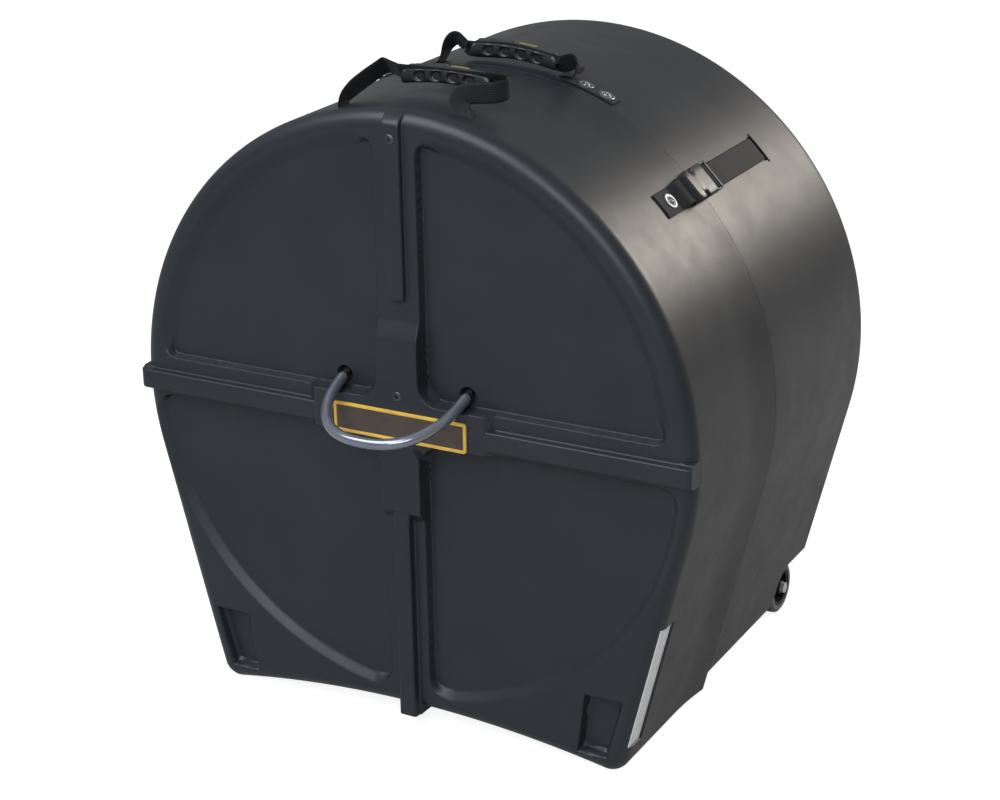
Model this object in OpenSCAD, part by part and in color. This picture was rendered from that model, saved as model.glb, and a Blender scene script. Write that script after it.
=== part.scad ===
// Wheeled hard case for a bass drum: two moulded halves that telescope into each other,
// closed by two side-release straps, with two carry handles, a tow handle and two wheels.

/* [Case] */
// Radius of the front half's barrel
barrel_r = 335; // [290:1:380]
// Depth from the front face to the back face, closed
case_depth = 474; // [420:1:560]
// Depth of the front half that stays in view
front_depth = 200; // [170:1:240]
// Length of the skirt that slides inside the rear half
skirt_length = 150; // [100:1:180]
// Thickness of the moulded shells
wall = 5; // [3:0.5:6]
// Height of the barrel's axis above the ground
axis_height = 361; // [330:1:420]
// Lean of the straight sides from the vertical, in degrees
side_lean = 14.2; // [10:0.2:18]
// Radius of the rounded rims round both end faces
rim_radius = 18; // [10:1:20]
// Radius of the lower corners
corner_radius = 22; // [21:1:30]
// Height of the arch between the front feet
arch_rise = 21; // [12:1:30]
// Gap between the rear half and the skirt inside it
slide_gap = 1.2; // [0.8:0.1:2]
// Height of the rear half's underside above the ground
rear_clearance = 20; // [14:1:30]

/* [End faces] */
// Depth of the four sunk panels
panel_depth = 14; // [6:1:16]
// Run of the panels' sloping walls
panel_slope = 9; // [4:1:12]
// Width of the upright band between the panels
band_width = 50; // [40:1:70]
// Width of the level band above and below the axis
level_band = 46; // [40:1:60]
// Width of the ring between the upper panels and the barrel
upper_ring = 24; // [20:1:40]
// Width of the ring beside the lower panels
lower_ring = 12; // [8:1:30]
// Radius of the panels' corners
panel_corner = 24; // [12:1:30]
// Height of the level bar
bar_height = 23; // [16:1:30]
// How far the bar and the hub stand out of the face
bar_proud = 8; // [4:1:12]
// Half length of the hub's level arms
hub_reach = 110; // [90:1:130]
// Height of the hub above the axis, and below it
hub_height = 106; // [90:1:125]
// Width of the upper rib
upper_rib_w = 21; // [14:1:26]
// Width of the lower rib
lower_rib_w = 26; // [18:1:34]
// Width of the blank badge plate
badge_w = 162; // [120:1:170]
// Height of the blank badge plate
badge_h = 34; // [24:1:36]

/* [Straps] */
// Width of the strap webbing
strap_w = 30; // [25:1:34]
// Thickness of all webbing
web_t = 1.8; // [1.2:0.1:2]
// Angle of the straps above the level, seen from the front
strap_angle = 44; // [30:1:60]
// Length of each fixed strap tab in front of its buckle
tab_length = 53; // [44:1:60]
// Distance from the seam back to the strap's slot
strap_slot_back = 164; // [140:1:180]

/* [Handles] */
// Length of each moulded grip
grip_length = 104; // [90:1:130]
// Width of the carry handles' webbing
handle_web_w = 22; // [18:1:28]
// Distance between a handle's two anchors
anchor_span = 152; // [140:1:180]
// Distance of the front handle's anchors behind the front face
front_anchor_back = 31; // [26:1:40]
// How far the front grip leans back from its anchors
front_grip_back = 47; // [30:1:60]
// Distance of the rear handle behind the seam
rear_handle_back = 20; // [17:1:40]
// Distance between the tow handle's two holes
tow_span = 150; // [130:1:170]
// Outer diameter of the tow handle's sleeve
tow_sleeve_d = 12; // [10:1:16]
// Diameter of the tow rope
tow_rope_d = 8; // [6:1:10]
// Straight length of the tow handle's legs
tow_leg = 20; // [16:1:30]
// Droop of the tow handle below the level, in degrees
tow_droop = 20; // [10:1:30]

/* [Wheels] */
// Diameter over the tyre
wheel_d = 65; // [50:1:70]
// Width of the tyre
tyre_w = 24; // [18:1:26]
// Diameter of the axle
axle_d = 8; // [6:1:10]
// How far the wheels stand behind the back face
wheel_proud = 5; // [2:1:7]

/* [Hidden] */

// Clearances between pieces that touch, and steps round the outlines
seat_gap = 0.3;
fit = 0.1;
slight = 0.4;
back_facets = 96;
barrel_steps = 56;
corner_steps = 4;
arch_steps = 12;
rim_steps = 6;

// Nuts inside the rear half, which its floor passes below
axle_nut_r = axle_d * 0.85;
axle_nut_t = 6;
nut_play = 0.7;

// Radii and undersides of the shells that slide in each other
skirt_r = barrel_r - 0.8;
rear_r = skirt_r + slide_gap + wall;
rear_floor = -(axis_height - min(rear_clearance, wheel_d / 2 - axle_nut_r - wall - nut_play));
skirt_floor = rear_floor + wall + slide_gap + 0.2;
arch_top = -(axis_height - arch_rise);
skirt_end = front_depth + skirt_length;

// Front face: sunk panels, raised bar, hub and ribs
upper_panel_low = level_band / 2 + 3;
lower_panel_top = level_band / 2 - 4;
hub_arm = level_band / 2 - slight;
hub_proud = bar_proud + 1;
bar_drop = 1.5;
bevel = 2;
ramp = 12;
rib_gap = 32;
lower_rib_more = 5;
foot_drop = 5;
foot_pocket_x = 208;
foot_pocket_foot_w = 34;
foot_pocket_head_w = 43;
foot_pocket_lean = 8;
foot_pocket_low = 15;
foot_pocket_high = 86;
foot_pocket_depth = 9;

// Reflectors, measured up the straight side from where it meets the barrel
reflector_low = -254;
reflector_l = 151;
reflector_front = 9;
reflector_back = 36;
reflector_sink = 3.2;
reflector_t = 1.4;

// Fixings
screw_d = 5;
screw_heights = [307, 32];
rivet_d = 5;
washer_d = 19;
washer_t = 1.2;
badge_t = 2;
badge_edge = 4;
badge_drop = 4.5;

// Tow handle: it swings about the line through its two holes
tow_radius = tow_span / 2;
tow_pivot_y = panel_depth - 5;
tow_pivot_z = level_band / 2 + 16;
tow_reach = (tow_leg + tow_radius) * cos(tow_droop) + tow_sleeve_d / 2 - tow_pivot_y;
tow_mouth = 12;

// The origin is on the ground below the middle of the whole depth
face_y = -(case_depth + wheel_proud - tow_reach) / 2;

// Wheels and their wells
wheel_y = case_depth + wheel_proud - wheel_d / 2;
wheel_z = wheel_d / 2 - axis_height;
wheel_out = 257;
hub_r = wheel_d / 2 - 9;
axle_collar_r = axle_d * 0.9;
axle_cap_r = axle_d * 0.8;
axle_cap_t = 5;
tread_shoulder = 4;
well_round = 24;
well_foot_lean = 14;
well_inner = wheel_out - tyre_w - 9;
well_top = wheel_z + wheel_d / 2 + 20;
well_front = wheel_y - wheel_d / 2 - 28;

// Straps and buckles, measured along the barrel's radius and back from the front face
buckle_low = rear_r + seat_gap;
buckle_h = 10;
socket_y = front_depth - 26;
socket_l = 43;
socket_w = strap_w + 6;
socket_wall = 4;
socket_chamfer = 4;
socket_shoulder = 6;
socket_waist = 2.5;
socket_window = [20, 27];
side_wall = 5;
skin_t = 2;
tab_z = buckle_low + 4;
tab_rivet_y = socket_y - 32;
prong_y = socket_y + socket_l + 0.5;
prong_w = 4;
prong_play = 0.5;
ladder_l = 15;
ladder_bar = 3;
ladder_pitch = 6;
strap_tail = 19;
slot_y = front_depth + strap_slot_back;
keeper_d = 5;
keeper_low = rear_r - wall - keeper_d - 2;

// Carry handles
grip_w = handle_web_w + 5;
grip_h = 17;
finger_pitch = 21;
finger_sink = 3.5;
inlay_l = 56;
inlay_w = 12;
inlay_t = 2;
front_handle_y = front_anchor_back + front_grip_back;
front_grip_x = 21;
front_grip_z = barrel_r + 21;
front_grip_turn = 57;
rear_handle_y = front_depth + rear_handle_back;
rear_grip_z = rear_r + grip_h / 2 + 1;
rear_grip_turn = 4.7;
left_tab_from = 12.6;
right_tab_from = 14.8;
tab_to = 24.9;
rear_rivet_angles = [-22.7, -18.3, 18.3, 22.7];
bar_half = 5;
anchor_x = anchor_span / 2;
anchor_bar_z = sqrt(pow(barrel_r - wall, 2) - pow(anchor_x + bar_half, 2)) - 2 * slight;

// ---- Outlines -------------------------------------------------------------------------
// An outline is [right corner, top, left corner, bottom]. The first three are round arcs,
// each [centre x, centre z, radius, first and last direction of the outward normal], that
// straight runs join. The bottom is a hollow arc with a negative radius, [] for one straight
// run, or [n] for a straight run in n equal lengths.
function along(o, a, t = 0) = [o[0] + (o[2] - t) * cos(a), o[1] + (o[2] - t) * sin(a)];
function corner_x(r, floor_z, rc) = (r - rc + (floor_z + rc) * sin(side_lean)) / cos(side_lean);

// Barrel with straight sides and a flat floor
function flat_outline(r, floor_z, rc, bottom) =
    let (cx = corner_x(r, floor_z, rc), cz = floor_z + rc)
    [
        [cx, cz, rc, -90, -side_lean],
        [0, 0, r, -side_lean, 180 + side_lean],
        [-cx, cz, rc, 180 + side_lean, 270],
        bottom
    ];

// The same with an arched floor that stands on its two corners
function arched_outline(r, floor_z, top_z, rc) =
    let (
        cx = corner_x(r, floor_z, rc),
        cz = floor_z + rc,
        rise = top_z - floor_z,
        span = (cx * cx + rise * rise) / (2 * rise),
        tilt = asin(cx / span)
    )
    [
        [cx, cz, rc, -90 - tilt, -side_lean],
        [0, 0, r, -side_lean, 180 + side_lean],
        [-cx, cz, rc, 180 + side_lean, 270 + tilt],
        [0, top_z - span + rc, rc - span, 270 + tilt, 270 - tilt]
    ];

// Points along one arc, and along a whole outline, set in by t
function arc_points(o, t, n) = [for (k = [0:n]) along(o, o[3] + (o[4] - o[3]) * k / n, t)];
function bottom_points(outline, t) =
    let (
        o = outline[3],
        n = len(o) > 1 ? arch_steps : len(o) > 0 ? o[0] : 1,
        from = along(outline[2], outline[2][4], t),
        to = along(outline[0], outline[0][3], t)
    )
    [for (k = [1:1:n - 1])
        len(o) > 1 ? along(o, o[3] + (o[4] - o[3]) * k / n, t) : from + (to - from) * k / n];
function ring(outline, t) = concat(
    arc_points(outline[0], t, corner_steps),
    arc_points(outline[1], t, barrel_steps),
    arc_points(outline[2], t, corner_steps),
    bottom_points(outline, t)
);

// Stations round a rim of the given radius whose face lies at depth y, from face to side
function rim(outline, t, radius, y, steps) =
    [for (i = [0:steps]) let (a = 90 * i / steps)
        [ring(outline, t + radius * (1 - sin(a))), y + radius * (1 - cos(a))]];
function reversed(list) = [for (i = [len(list) - 1:-1:0]) list[i]];

// Closed skin through stations [outline points, y], from the first station to the last. Its
// two ends are fans from the barrel's first point, which sees the whole outline.
module skin(stations) {
    n = len(stations[0][0]);
    last = (len(stations) - 1) * n;
    c = corner_steps + 1;
    polyhedron(
        [for (s = stations) for (p = s[0]) [p[0], s[1], p[1]]],
        concat(
            [for (k = [1:n - 2]) [c, (c + k + 1) % n, (c + k) % n]],
            [for (k = [1:n - 2]) [last + c, last + (c + k) % n, last + (c + k + 1) % n]],
            [for (j = [0:n:last - n]) for (k = [0:n - 1]) [j + k, j + (k + 1) % n, j + n + k]],
            [for (j = [0:n:last - n]) for (k = [0:n - 1])
                [j + n + k, j + (k + 1) % n, j + n + (k + 1) % n]]
        )
    );
}

front_outline = arched_outline(barrel_r, -axis_height, arch_top, corner_radius);
skirt_outline = flat_outline(skirt_r, skirt_floor, corner_radius, [arch_steps]);
rear_outline = flat_outline(rear_r, rear_floor, corner_radius + slide_gap + wall, []);

// Front half with its skirt: over the outside, round the skirt's end and back inside
module front_tub() {
    skin(concat(
        rim(front_outline, 0, rim_radius, 0, rim_steps),
        [
            [ring(front_outline, 0), front_depth],
            [ring(skirt_outline, 0), front_depth],
            [ring(skirt_outline, 0), skirt_end],
            [ring(skirt_outline, wall), skirt_end],
            [ring(skirt_outline, wall), front_depth - wall],
            [ring(front_outline, wall), front_depth - wall]
        ],
        reversed(rim(front_outline, wall, rim_radius - wall, wall, rim_steps / 2))
    ));
}

// Rear half, drawn from its back face towards its open end
module rear_tub() {
    open = case_depth - front_depth - seat_gap;
    skin(concat(
        rim(rear_outline, 0, rim_radius, 0, rim_steps),
        [[ring(rear_outline, 0), open], [ring(rear_outline, wall), open]],
        reversed(rim(rear_outline, wall, rim_radius - wall, wall, rim_steps / 2))
    ));
}

// ---- Placing --------------------------------------------------------------------------
module place() {
    translate([0, face_y, axis_height]) children();
}

// Turns a piece drawn above the top of the barrel to an angle round it
module round_barrel(angle) {
    rotate([0, 90 - angle, 0]) children();
}

// A cylinder along y
module bar_y(r, y0, y1, facets = 48) {
    translate([0, y0, 0]) rotate([-90, 0, 0]) cylinder(r = r, h = y1 - y0, $fn = facets);
}

// A cylinder along x
module bar_x(r, x0, x1, facets = 48) {
    translate([x0, 0, 0]) rotate([0, 90, 0]) cylinder(r = r, h = x1 - x0, $fn = facets);
}

// A box from its two corners
module box(a, b) {
    translate(a) cube(b - a);
}

// An outline in the x-z plane, extruded from y0 to y1
module upright(points, y0, y1) {
    translate([0, y0, 0])
        rotate([-90, 0, 0])
            linear_extrude(y1 - y0)
                polygon([for (p = points) [p[0], -p[1]]]);
}

// An outline in the y-z plane, extruded from x0 to x1
module sideways(points, x0, x1) {
    translate([x0, 0, 0])
        rotate([90, 0, 90])
            linear_extrude(x1 - x0)
                polygon(points);
}

// ---- Webbing --------------------------------------------------------------------------
// Outline of a strip of thickness t along a flat path, with mitred bends
function unit(v) = v / norm(v);
function turn_left(v) = [-v[1], v[0]];
function mitre(path, i) =
    let (
        a = i > 0 ? unit(path[i] - path[i - 1]) : unit(path[1] - path[0]),
        b = i < len(path) - 1 ? unit(path[i + 1] - path[i]) : a,
        n = unit(turn_left(a) + turn_left(b))
    )
    n / max(0.5, n * turn_left(a));
function strip(path, t) = concat(
    [for (i = [0:len(path) - 1]) path[i] + mitre(path, i) * t / 2],
    [for (i = [len(path) - 1:-1:0]) path[i] - mitre(path, i) * t / 2]
);

// Front webbing: up out of the left slot, through the grip and down to the right slot
lean_w = [0, cos(front_grip_turn), -sin(front_grip_turn)];
grip_end = grip_length / 2;
front_web_stations = [
    [[-anchor_x, front_anchor_back, anchor_bar_z], [0, 1, 0]],
    [[-anchor_x, front_anchor_back, barrel_r - 5], [0, 1, 0]],
    [[-anchor_x + 1, front_anchor_back + 3, barrel_r + 1], [0, 0.9, -0.4]],
    [[-anchor_x + 4, front_anchor_back + 13, barrel_r + 7], [0, 0.6, -0.8]],
    [[-anchor_x + 9, front_anchor_back + 29, barrel_r + 14], [0, 0.5, -0.85]],
    [[-anchor_x + 15, front_handle_y, barrel_r + 21], lean_w],
    [[-anchor_x + 17, front_handle_y + 6, barrel_r + 23], lean_w],
    [[-anchor_x + 21, front_handle_y + 8, barrel_r + 23.5], lean_w],
    [[-anchor_x + 29, front_handle_y + 5, barrel_r + 22.5], lean_w],
    [[front_grip_x - grip_end - 6, front_handle_y + 1, front_grip_z + 0.5], lean_w],
    [[front_grip_x - grip_end, front_handle_y, front_grip_z], lean_w],
    [[front_grip_x + grip_end, front_handle_y, front_grip_z], lean_w],
    [[front_grip_x + grip_end + 7, front_handle_y + 1, front_grip_z - 0.5], lean_w],
    [[anchor_x + 13, front_handle_y + 2, barrel_r + 19], [0, 0.4, -0.9]],
    [[anchor_x + 17.5, front_handle_y - 2, barrel_r + 17], [0, 0.2, -1]],
    [[anchor_x + 16, front_handle_y - 9, barrel_r + 15], [0, 0, -1]],
    [[anchor_x + 8, front_handle_y - 17, barrel_r + 13.5], [0, 0, -1]],
    [[60, front_anchor_back + 22, barrel_r + 13], [0, 0, -1]],
    [[40, front_anchor_back + 18, barrel_r + 12.5], [0, 0, -1]],
    [[34, front_anchor_back + 15, barrel_r + 12.5], [0, 0, -1]],
    [[34.5, front_anchor_back + 10, barrel_r + 12.2], [0, 0.1, -1]],
    [[42, front_anchor_back + 5, barrel_r + 11], [0, 0.4, -0.9]],
    [[54, front_anchor_back + 1, barrel_r + 6.5], [0.1, 0.75, -0.65]],
    [[67, front_anchor_back, barrel_r + 0.5], [0.15, 0.95, -0.3]],
    [[anchor_x, front_anchor_back, barrel_r - 6], [0, 1, 0]],
    [[anchor_x, front_anchor_back, anchor_bar_z], [0, 1, 0]]
];

// Rear webbing, seen from the front: from the left tab, through the grip, to the right tab
tab_r = rear_r + seat_gap / 2 + web_t / 2;
function on_rear(a, out = 0) = (tab_r + out) * [sin(a), cos(a)];
function rear_grip_point(s, out = 0) =
    (rear_grip_z + out) * [sin(rear_grip_turn), cos(rear_grip_turn)]
    + s * [cos(rear_grip_turn), -sin(rear_grip_turn)];
rear_web_path = [
    on_rear(-left_tab_from + 0.06),
    on_rear(-left_tab_from + 1, 0.6),
    on_rear(-left_tab_from + 2.2, 8),
    on_rear(-left_tab_from + 3.7, 20),
    on_rear(-left_tab_from + 4.8, 23),
    rear_grip_point(-grip_end - 12, 4),
    rear_grip_point(-grip_end - 2),
    rear_grip_point(grip_end + 1.5),
    rear_grip_point(grip_end + 6, 4),
    on_rear(right_tab_from + 0.8, 24),
    on_rear(right_tab_from + 1.5, 19),
    on_rear(right_tab_from + 1.3, 11),
    on_rear(right_tab_from + 0.5, 6),
    on_rear(right_tab_from - 0.6, 5),
    on_rear(right_tab_from - 1, 2.6),
    on_rear(right_tab_from - 0.6, 0.6),
    on_rear(right_tab_from - 0.06)
];

// A ribbon through stations [point, direction of its width]
function station_way(s, i) =
    unit(s[min(i + 1, len(s) - 1)][0] - s[max(i - 1, 0)][0]);
module ribbon(s, width, t) {
    points = [
        for (i = [0:len(s) - 1])
            let (
                w = unit(s[i][1]),
                n = unit(cross(station_way(s, i), w)),
                u = unit(cross(n, station_way(s, i)))
            )
            for (k = [[1, 1], [-1, 1], [-1, -1], [1, -1]])
                s[i][0] + u * k[0] * width / 2 + n * k[1] * t / 2
    ];
    last = 4 * (len(s) - 1);
    polyhedron(
        points,
        concat(
            [[0, 1, 2], [0, 2, 3]],
            [for (i = [0:len(s) - 2]) for (k = [0:3]) [4 * i + k, 4 * i + 4 + k, 4 * i + (k + 1) % 4]],
            [for (i = [0:len(s) - 2]) for (k = [0:3])
                [4 * i + 4 + k, 4 * i + 4 + (k + 1) % 4, 4 * i + (k + 1) % 4]],
            [[last, last + 2, last + 1], [last, last + 3, last + 2]]
        )
    );
}

// ---- End faces ------------------------------------------------------------------------
// Corner points of one sunk panel. It lies right of the band and above the level band;
// side and up (1 or -1) turn it to the other three places.
function panel_outline(ring_r, x0, z0, rc, back) =
    let (
        r = ring_r - back,
        x = x0 + back,
        z = z0 + back,
        c = max(3, rc - back / 2),
        top = [x + c, sqrt(pow(r - c, 2) - pow(x + c, 2))],
        low = [sqrt(pow(r - c, 2) - pow(z + c, 2)), z + c],
        a_top = atan2(top[1], top[0]),
        a_low = atan2(low[1], low[0])
    )
    concat(
        [for (k = [0:4]) [x + c - c * cos(90 * k / 4), z + c - c * sin(90 * k / 4)]],
        [for (k = [0:5]) low + c * [cos(-90 + (90 + a_low) * k / 5), sin(-90 + (90 + a_low) * k / 5)]],
        [for (k = [1:11]) r * [cos(a_low + (a_top - a_low) * k / 12), sin(a_low + (a_top - a_low) * k / 12)]],
        [for (k = [0:5]) top + c * [cos(a_top + (180 - a_top) * k / 5), sin(a_top + (180 - a_top) * k / 5)]]
    );

module sunk_panel(ring_r, x0, z0) {
    outer = panel_outline(ring_r + 0.6, x0 - 0.6, z0 - 0.6, panel_corner, 0);
    inner = panel_outline(ring_r, x0, z0, panel_corner, panel_slope);
    n = len(outer);
    polyhedron(
        concat([for (p = outer) [p[0], -1, p[1]]], [for (p = inner) [p[0], panel_depth, p[1]]]),
        concat(
            [[for (k = [n - 1:-1:0]) k]],
            [[for (k = [0:n - 1]) n + k]],
            [for (k = [0:n - 1]) [k, (k + 1) % n, n + k]],
            [for (k = [0:n - 1]) [n + k, (k + 1) % n, n + (k + 1) % n]]
        )
    );
}

module four_panels() {
    for (side = [0, 1])
        mirror([side, 0, 0]) {
            sunk_panel(barrel_r - upper_ring, band_width / 2, upper_panel_low);
            mirror([0, 0, 1]) sunk_panel(barrel_r - lower_ring, band_width / 2, lower_panel_top);
        }
}

// Thicker wall behind the panels
module panel_backs() {
    for (side = [0, 1])
        mirror([side, 0, 0]) {
            panel_back(barrel_r - upper_ring, upper_panel_low);
            mirror([0, 0, 1]) panel_back(barrel_r - lower_ring, lower_panel_top);
        }
}

module panel_back(ring_r, low) {
    intersection() {
        bar_y(ring_r + 1, wall - 1, panel_depth + wall, back_facets);
        box([band_width / 2 - wall, 0, low - wall], [barrel_r, panel_depth + 2 * wall, barrel_r]);
    }
}

// Points within the wall's thickness round a rim at distance edge, as [depth, distance]
function in_rim(edge, from, to) =
    [for (i = [0:4]) let (a = from + (to - from) * i / 4, r = rim_radius - wall / 2)
        [rim_radius - r * cos(a), edge - rim_radius + r * sin(a)]];

// Bar, hub and ribs that stand out of the front face
module raised_cross() {
    half = bar_height / 2;
    tip = barrel_r - slight;
    floor_y = panel_depth + 1;
    right = [for (p = in_rim(barrel_r, 0, 88)) [p[1], p[0]]];
    left = [for (p = in_rim(barrel_r, 88, 0)) [-p[1], p[0]]];
    translate([0, 0, -bar_drop])
        intersection() {
            sideways([[rim_radius, half + bevel], [0, half + bevel], [-bar_proud, half],
                      [-bar_proud, -half], [0, -half - bevel], [rim_radius, -half - bevel]],
                     -barrel_r, barrel_r);
            translate([0, 0, -bar_height])
                linear_extrude(2 * bar_height)
                    polygon(concat(right,
                                   [[tip, rim_radius - 2], [tip, 4 - bar_proud], [tip - 3, -bar_proud],
                                    [3 - tip, -bar_proud], [-tip, 4 - bar_proud], [-tip, rim_radius - 2]],
                                   left));
        }
    translate([0, 0, -hub_arm])
        linear_extrude(2 * hub_arm)
            polygon([[-hub_reach, floor_y], [-hub_reach, 0], [-hub_reach + ramp / 2, -hub_proud],
                     [hub_reach - ramp / 2, -hub_proud], [hub_reach, 0], [hub_reach, floor_y]]);
    sideways([[2, -hub_height], [0, -hub_height], [-hub_proud, ramp / 2 - hub_height],
              [-hub_proud, hub_height - ramp], [0, hub_height + 2], [2, hub_height + 2]],
             slight - band_width / 2, band_width / 2 - slight);
    upper_rib();
    lower_rib();
}

module upper_rib() {
    low = hub_height + rib_gap;
    front = 2 - bar_proud;
    translate([0, 0, low]) bar_y(upper_rib_w / 2, front, wall / 2);
    sideways(concat([[wall / 2, low], [front, low], [front, barrel_r - 21], [2, barrel_r - 9],
                     [rim_radius / 2, barrel_r - 2.4]],
                    in_rim(barrel_r, 70, 0)),
             -upper_rib_w / 2, upper_rib_w / 2);
}

module lower_rib() {
    front = -bar_proud - lower_rib_more;
    foot = arch_top - foot_drop;
    sideways(concat([[wall / 2, ramp - hub_height], [0, ramp - hub_height], [front, -hub_height],
                     [front, foot], [rim_radius, foot]],
                    [for (p = in_rim(-arch_top, 90, 0)) [p[0], -p[1]]]),
             -lower_rib_w / 2, lower_rib_w / 2);
}

// Sunk pockets beside the feet, which lean with the sides
module foot_pockets() {
    low = foot_pocket_low - axis_height;
    high = foot_pocket_high - axis_height;
    for (side = [0, 1])
        mirror([side, 0, 0])
            upright([[foot_pocket_x, low], [foot_pocket_x + foot_pocket_foot_w, low],
                     [foot_pocket_x + foot_pocket_lean + foot_pocket_head_w, high],
                     [foot_pocket_x + foot_pocket_lean, high]], -1, foot_pocket_depth);
}

module foot_pocket_backs() {
    for (side = [0, 1])
        mirror([side, 0, 0])
            box([foot_pocket_x - wall, wall - 1, foot_pocket_low - wall / 2 - axis_height],
                [foot_pocket_x + foot_pocket_foot_w + wall, foot_pocket_depth + wall,
                 foot_pocket_high + wall - axis_height]);
}

// A frame on the right straight side: x runs back, y outwards and z up the side
module on_side(mirrored) {
    mirror([mirrored, 0, 0])
        multmatrix([
            [0, cos(side_lean), sin(side_lean), barrel_r * cos(side_lean)],
            [1, 0, 0, 0],
            [0, -sin(side_lean), cos(side_lean), -barrel_r * sin(side_lean)]
        ])
            children();
}

module reflector_cut(mirrored) {
    on_side(mirrored)
        box([-1, -reflector_sink, reflector_low],
            [reflector_back, barrel_r / 10, reflector_low + reflector_l]);
}

module reflector_backing(mirrored) {
    on_side(mirrored)
        box([wall + 3, -reflector_sink - wall, reflector_low - wall],
            [reflector_back + wall, -wall + 1, reflector_low + reflector_l + wall]);
}

module reflector(mirrored) {
    on_side(mirrored)
        box([reflector_front, -reflector_sink, reflector_low + slight],
            [reflector_back - 2, reflector_t - reflector_sink, reflector_low + reflector_l - slight]);
}

module tow_holes() {
    for (side = [-1, 1])
        translate([side * tow_radius, 0, tow_pivot_z])
            bar_y(tow_rope_d / 2 + 1, tow_pivot_y, panel_depth + wall + 1);
}

module face_screw_holes() {
    for (z = screw_heights)
        translate([0, 0, z]) bar_y(screw_d / 2 + fit, -2 * bar_proud, wall + 1);
}

module handle_slots() {
    for (side = [-1, 1])
        translate([side * anchor_span / 2, front_anchor_back, 0])
            box([-web_t, -handle_web_w / 2 - 1, barrel_r * 0.9], [web_t, handle_web_w / 2 + 1, barrel_r]);
}

module front_tab_hole() {
    translate([0, tab_rivet_y, 0]) cylinder(r = rivet_d / 2 + fit, h = barrel_r + wall, $fn = 32);
}

module front_shell() {
    color("#2b2e31")
        place()
            difference() {
                union() {
                    difference() {
                        union() {
                            front_tub();
                            panel_backs();
                            foot_pocket_backs();
                            reflector_backing(0);
                            reflector_backing(1);
                        }
                        four_panels();
                        foot_pockets();
                    }
                    raised_cross();
                }
                reflector_cut(0);
                reflector_cut(1);
                tow_holes();
                face_screw_holes();
                handle_slots();
                round_barrel(strap_angle) front_tab_hole();
                round_barrel(180 - strap_angle) front_tab_hole();
            }
}

module badge_plate() {
    y = -hub_proud - badge_t;
    color("#b8862f")
        place()
            translate([0, 0, -badge_drop])
                difference() {
                    box([-badge_w / 2, y, -badge_h / 2], [badge_w / 2, -hub_proud, badge_h / 2]);
                    box([-badge_w / 2 + badge_edge, y - 1, -badge_h / 2 + badge_edge],
                        [badge_w / 2 - badge_edge, y + badge_t / 2, badge_h / 2 - badge_edge]);
                }
}

module badge_field() {
    y = -hub_proud - badge_t / 2;
    edge = badge_edge + fit;
    color("#30241c")
        place()
            translate([0, 0, -badge_drop])
                box([-badge_w / 2 + edge, y - badge_t / 4, -badge_h / 2 + edge],
                    [badge_w / 2 - edge, y, badge_h / 2 - edge]);
}

// Each screw clamps the rib to the shell with a nut inside
module face_screws() {
    fronts = [2 - bar_proud, -hub_proud];
    color("#c9ccd0")
        place()
            for (k = [0, 1])
                translate([0, 0, screw_heights[k]]) {
                    difference() {
                        bar_y(screw_d * 1.2, fronts[k] - screw_d / 2, fronts[k]);
                        box([-screw_d, fronts[k] - screw_d, -0.7], [screw_d, fronts[k] - screw_d / 3, 0.7]);
                    }
                    bar_y(screw_d / 2, fronts[k] - 1, wall + screw_d);
                    translate([0, wall, 0])
                        rotate([-90, 0, 0])
                            cylinder(r = screw_d, h = screw_d * 0.7, $fn = 6);
                }
}

module reflector_right() {
    color("#eceef0") place() reflector(0);
}

module reflector_left() {
    color("#eceef0") place() reflector(1);
}

// ---- Carry handles --------------------------------------------------------------------
// A moulded grip along x about its webbing, with finger hollows underneath and a pad on top
module grip() {
    half = grip_length / 2;
    soft = grip_h / 3;
    side_view = concat(
        [[-half, soft - grip_h / 2], [soft - half, -grip_h / 2]],
        [for (f = [-1.5:1:1.5]) for (k = [0:6])
            [f * finger_pitch + finger_pitch * 0.42 * (k / 3 - 1), -grip_h / 2 + finger_sink * sin(30 * k)]],
        [[half - soft, -grip_h / 2], [half, soft - grip_h / 2], [half, grip_h / 2 - soft],
         [half - soft, grip_h / 2], [soft - half, grip_h / 2], [-half, grip_h / 2 - soft]]
    );
    end_view = [
        for (c = [[1, 1, 0], [-1, 1, 90], [-1, -1, 180], [1, -1, 270]])
            for (k = [0:4])
                [c[0] * (grip_w / 2 - soft) + soft * cos(c[2] + 22.5 * k),
                 c[1] * (grip_h / 2 - soft) + soft * sin(c[2] + 22.5 * k)]
    ];
    difference() {
        intersection() {
            upright(side_view, -grip_w / 2, grip_w / 2);
            sideways(end_view, -half, half);
        }
        box([-half - 1, -handle_web_w / 2 - fit, -web_t / 2 - fit],
            [half + 1, handle_web_w / 2 + fit, web_t / 2 + fit]);
        box([-inlay_l / 2 - fit, -inlay_w / 2 - fit, grip_h / 2 - inlay_t],
            [inlay_l / 2 + fit, inlay_w / 2 + fit, grip_h]);
    }
}

module inlay() {
    box([-inlay_l / 2, -inlay_w / 2, grip_h / 2 - inlay_t], [inlay_l / 2, inlay_w / 2, grip_h / 2 + 0.5]);
}

module at_front_grip() {
    place()
        translate([front_grip_x, front_handle_y, front_grip_z])
            rotate([-front_grip_turn, 0, 0])
                children();
}

module at_rear_grip() {
    place()
        translate([0, rear_handle_y, 0])
            rotate([0, rear_grip_turn, 0])
                translate([0, 0, rear_grip_z])
                    children();
}

module front_handle_grip() {
    color("#26282b") at_front_grip() grip();
}

module front_grip_inlay() {
    color("#4a4d50") at_front_grip() inlay();
}

module front_handle_webbing() {
    color("#1c1d1f") place() ribbon(front_web_stations, handle_web_w, web_t);
}

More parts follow.
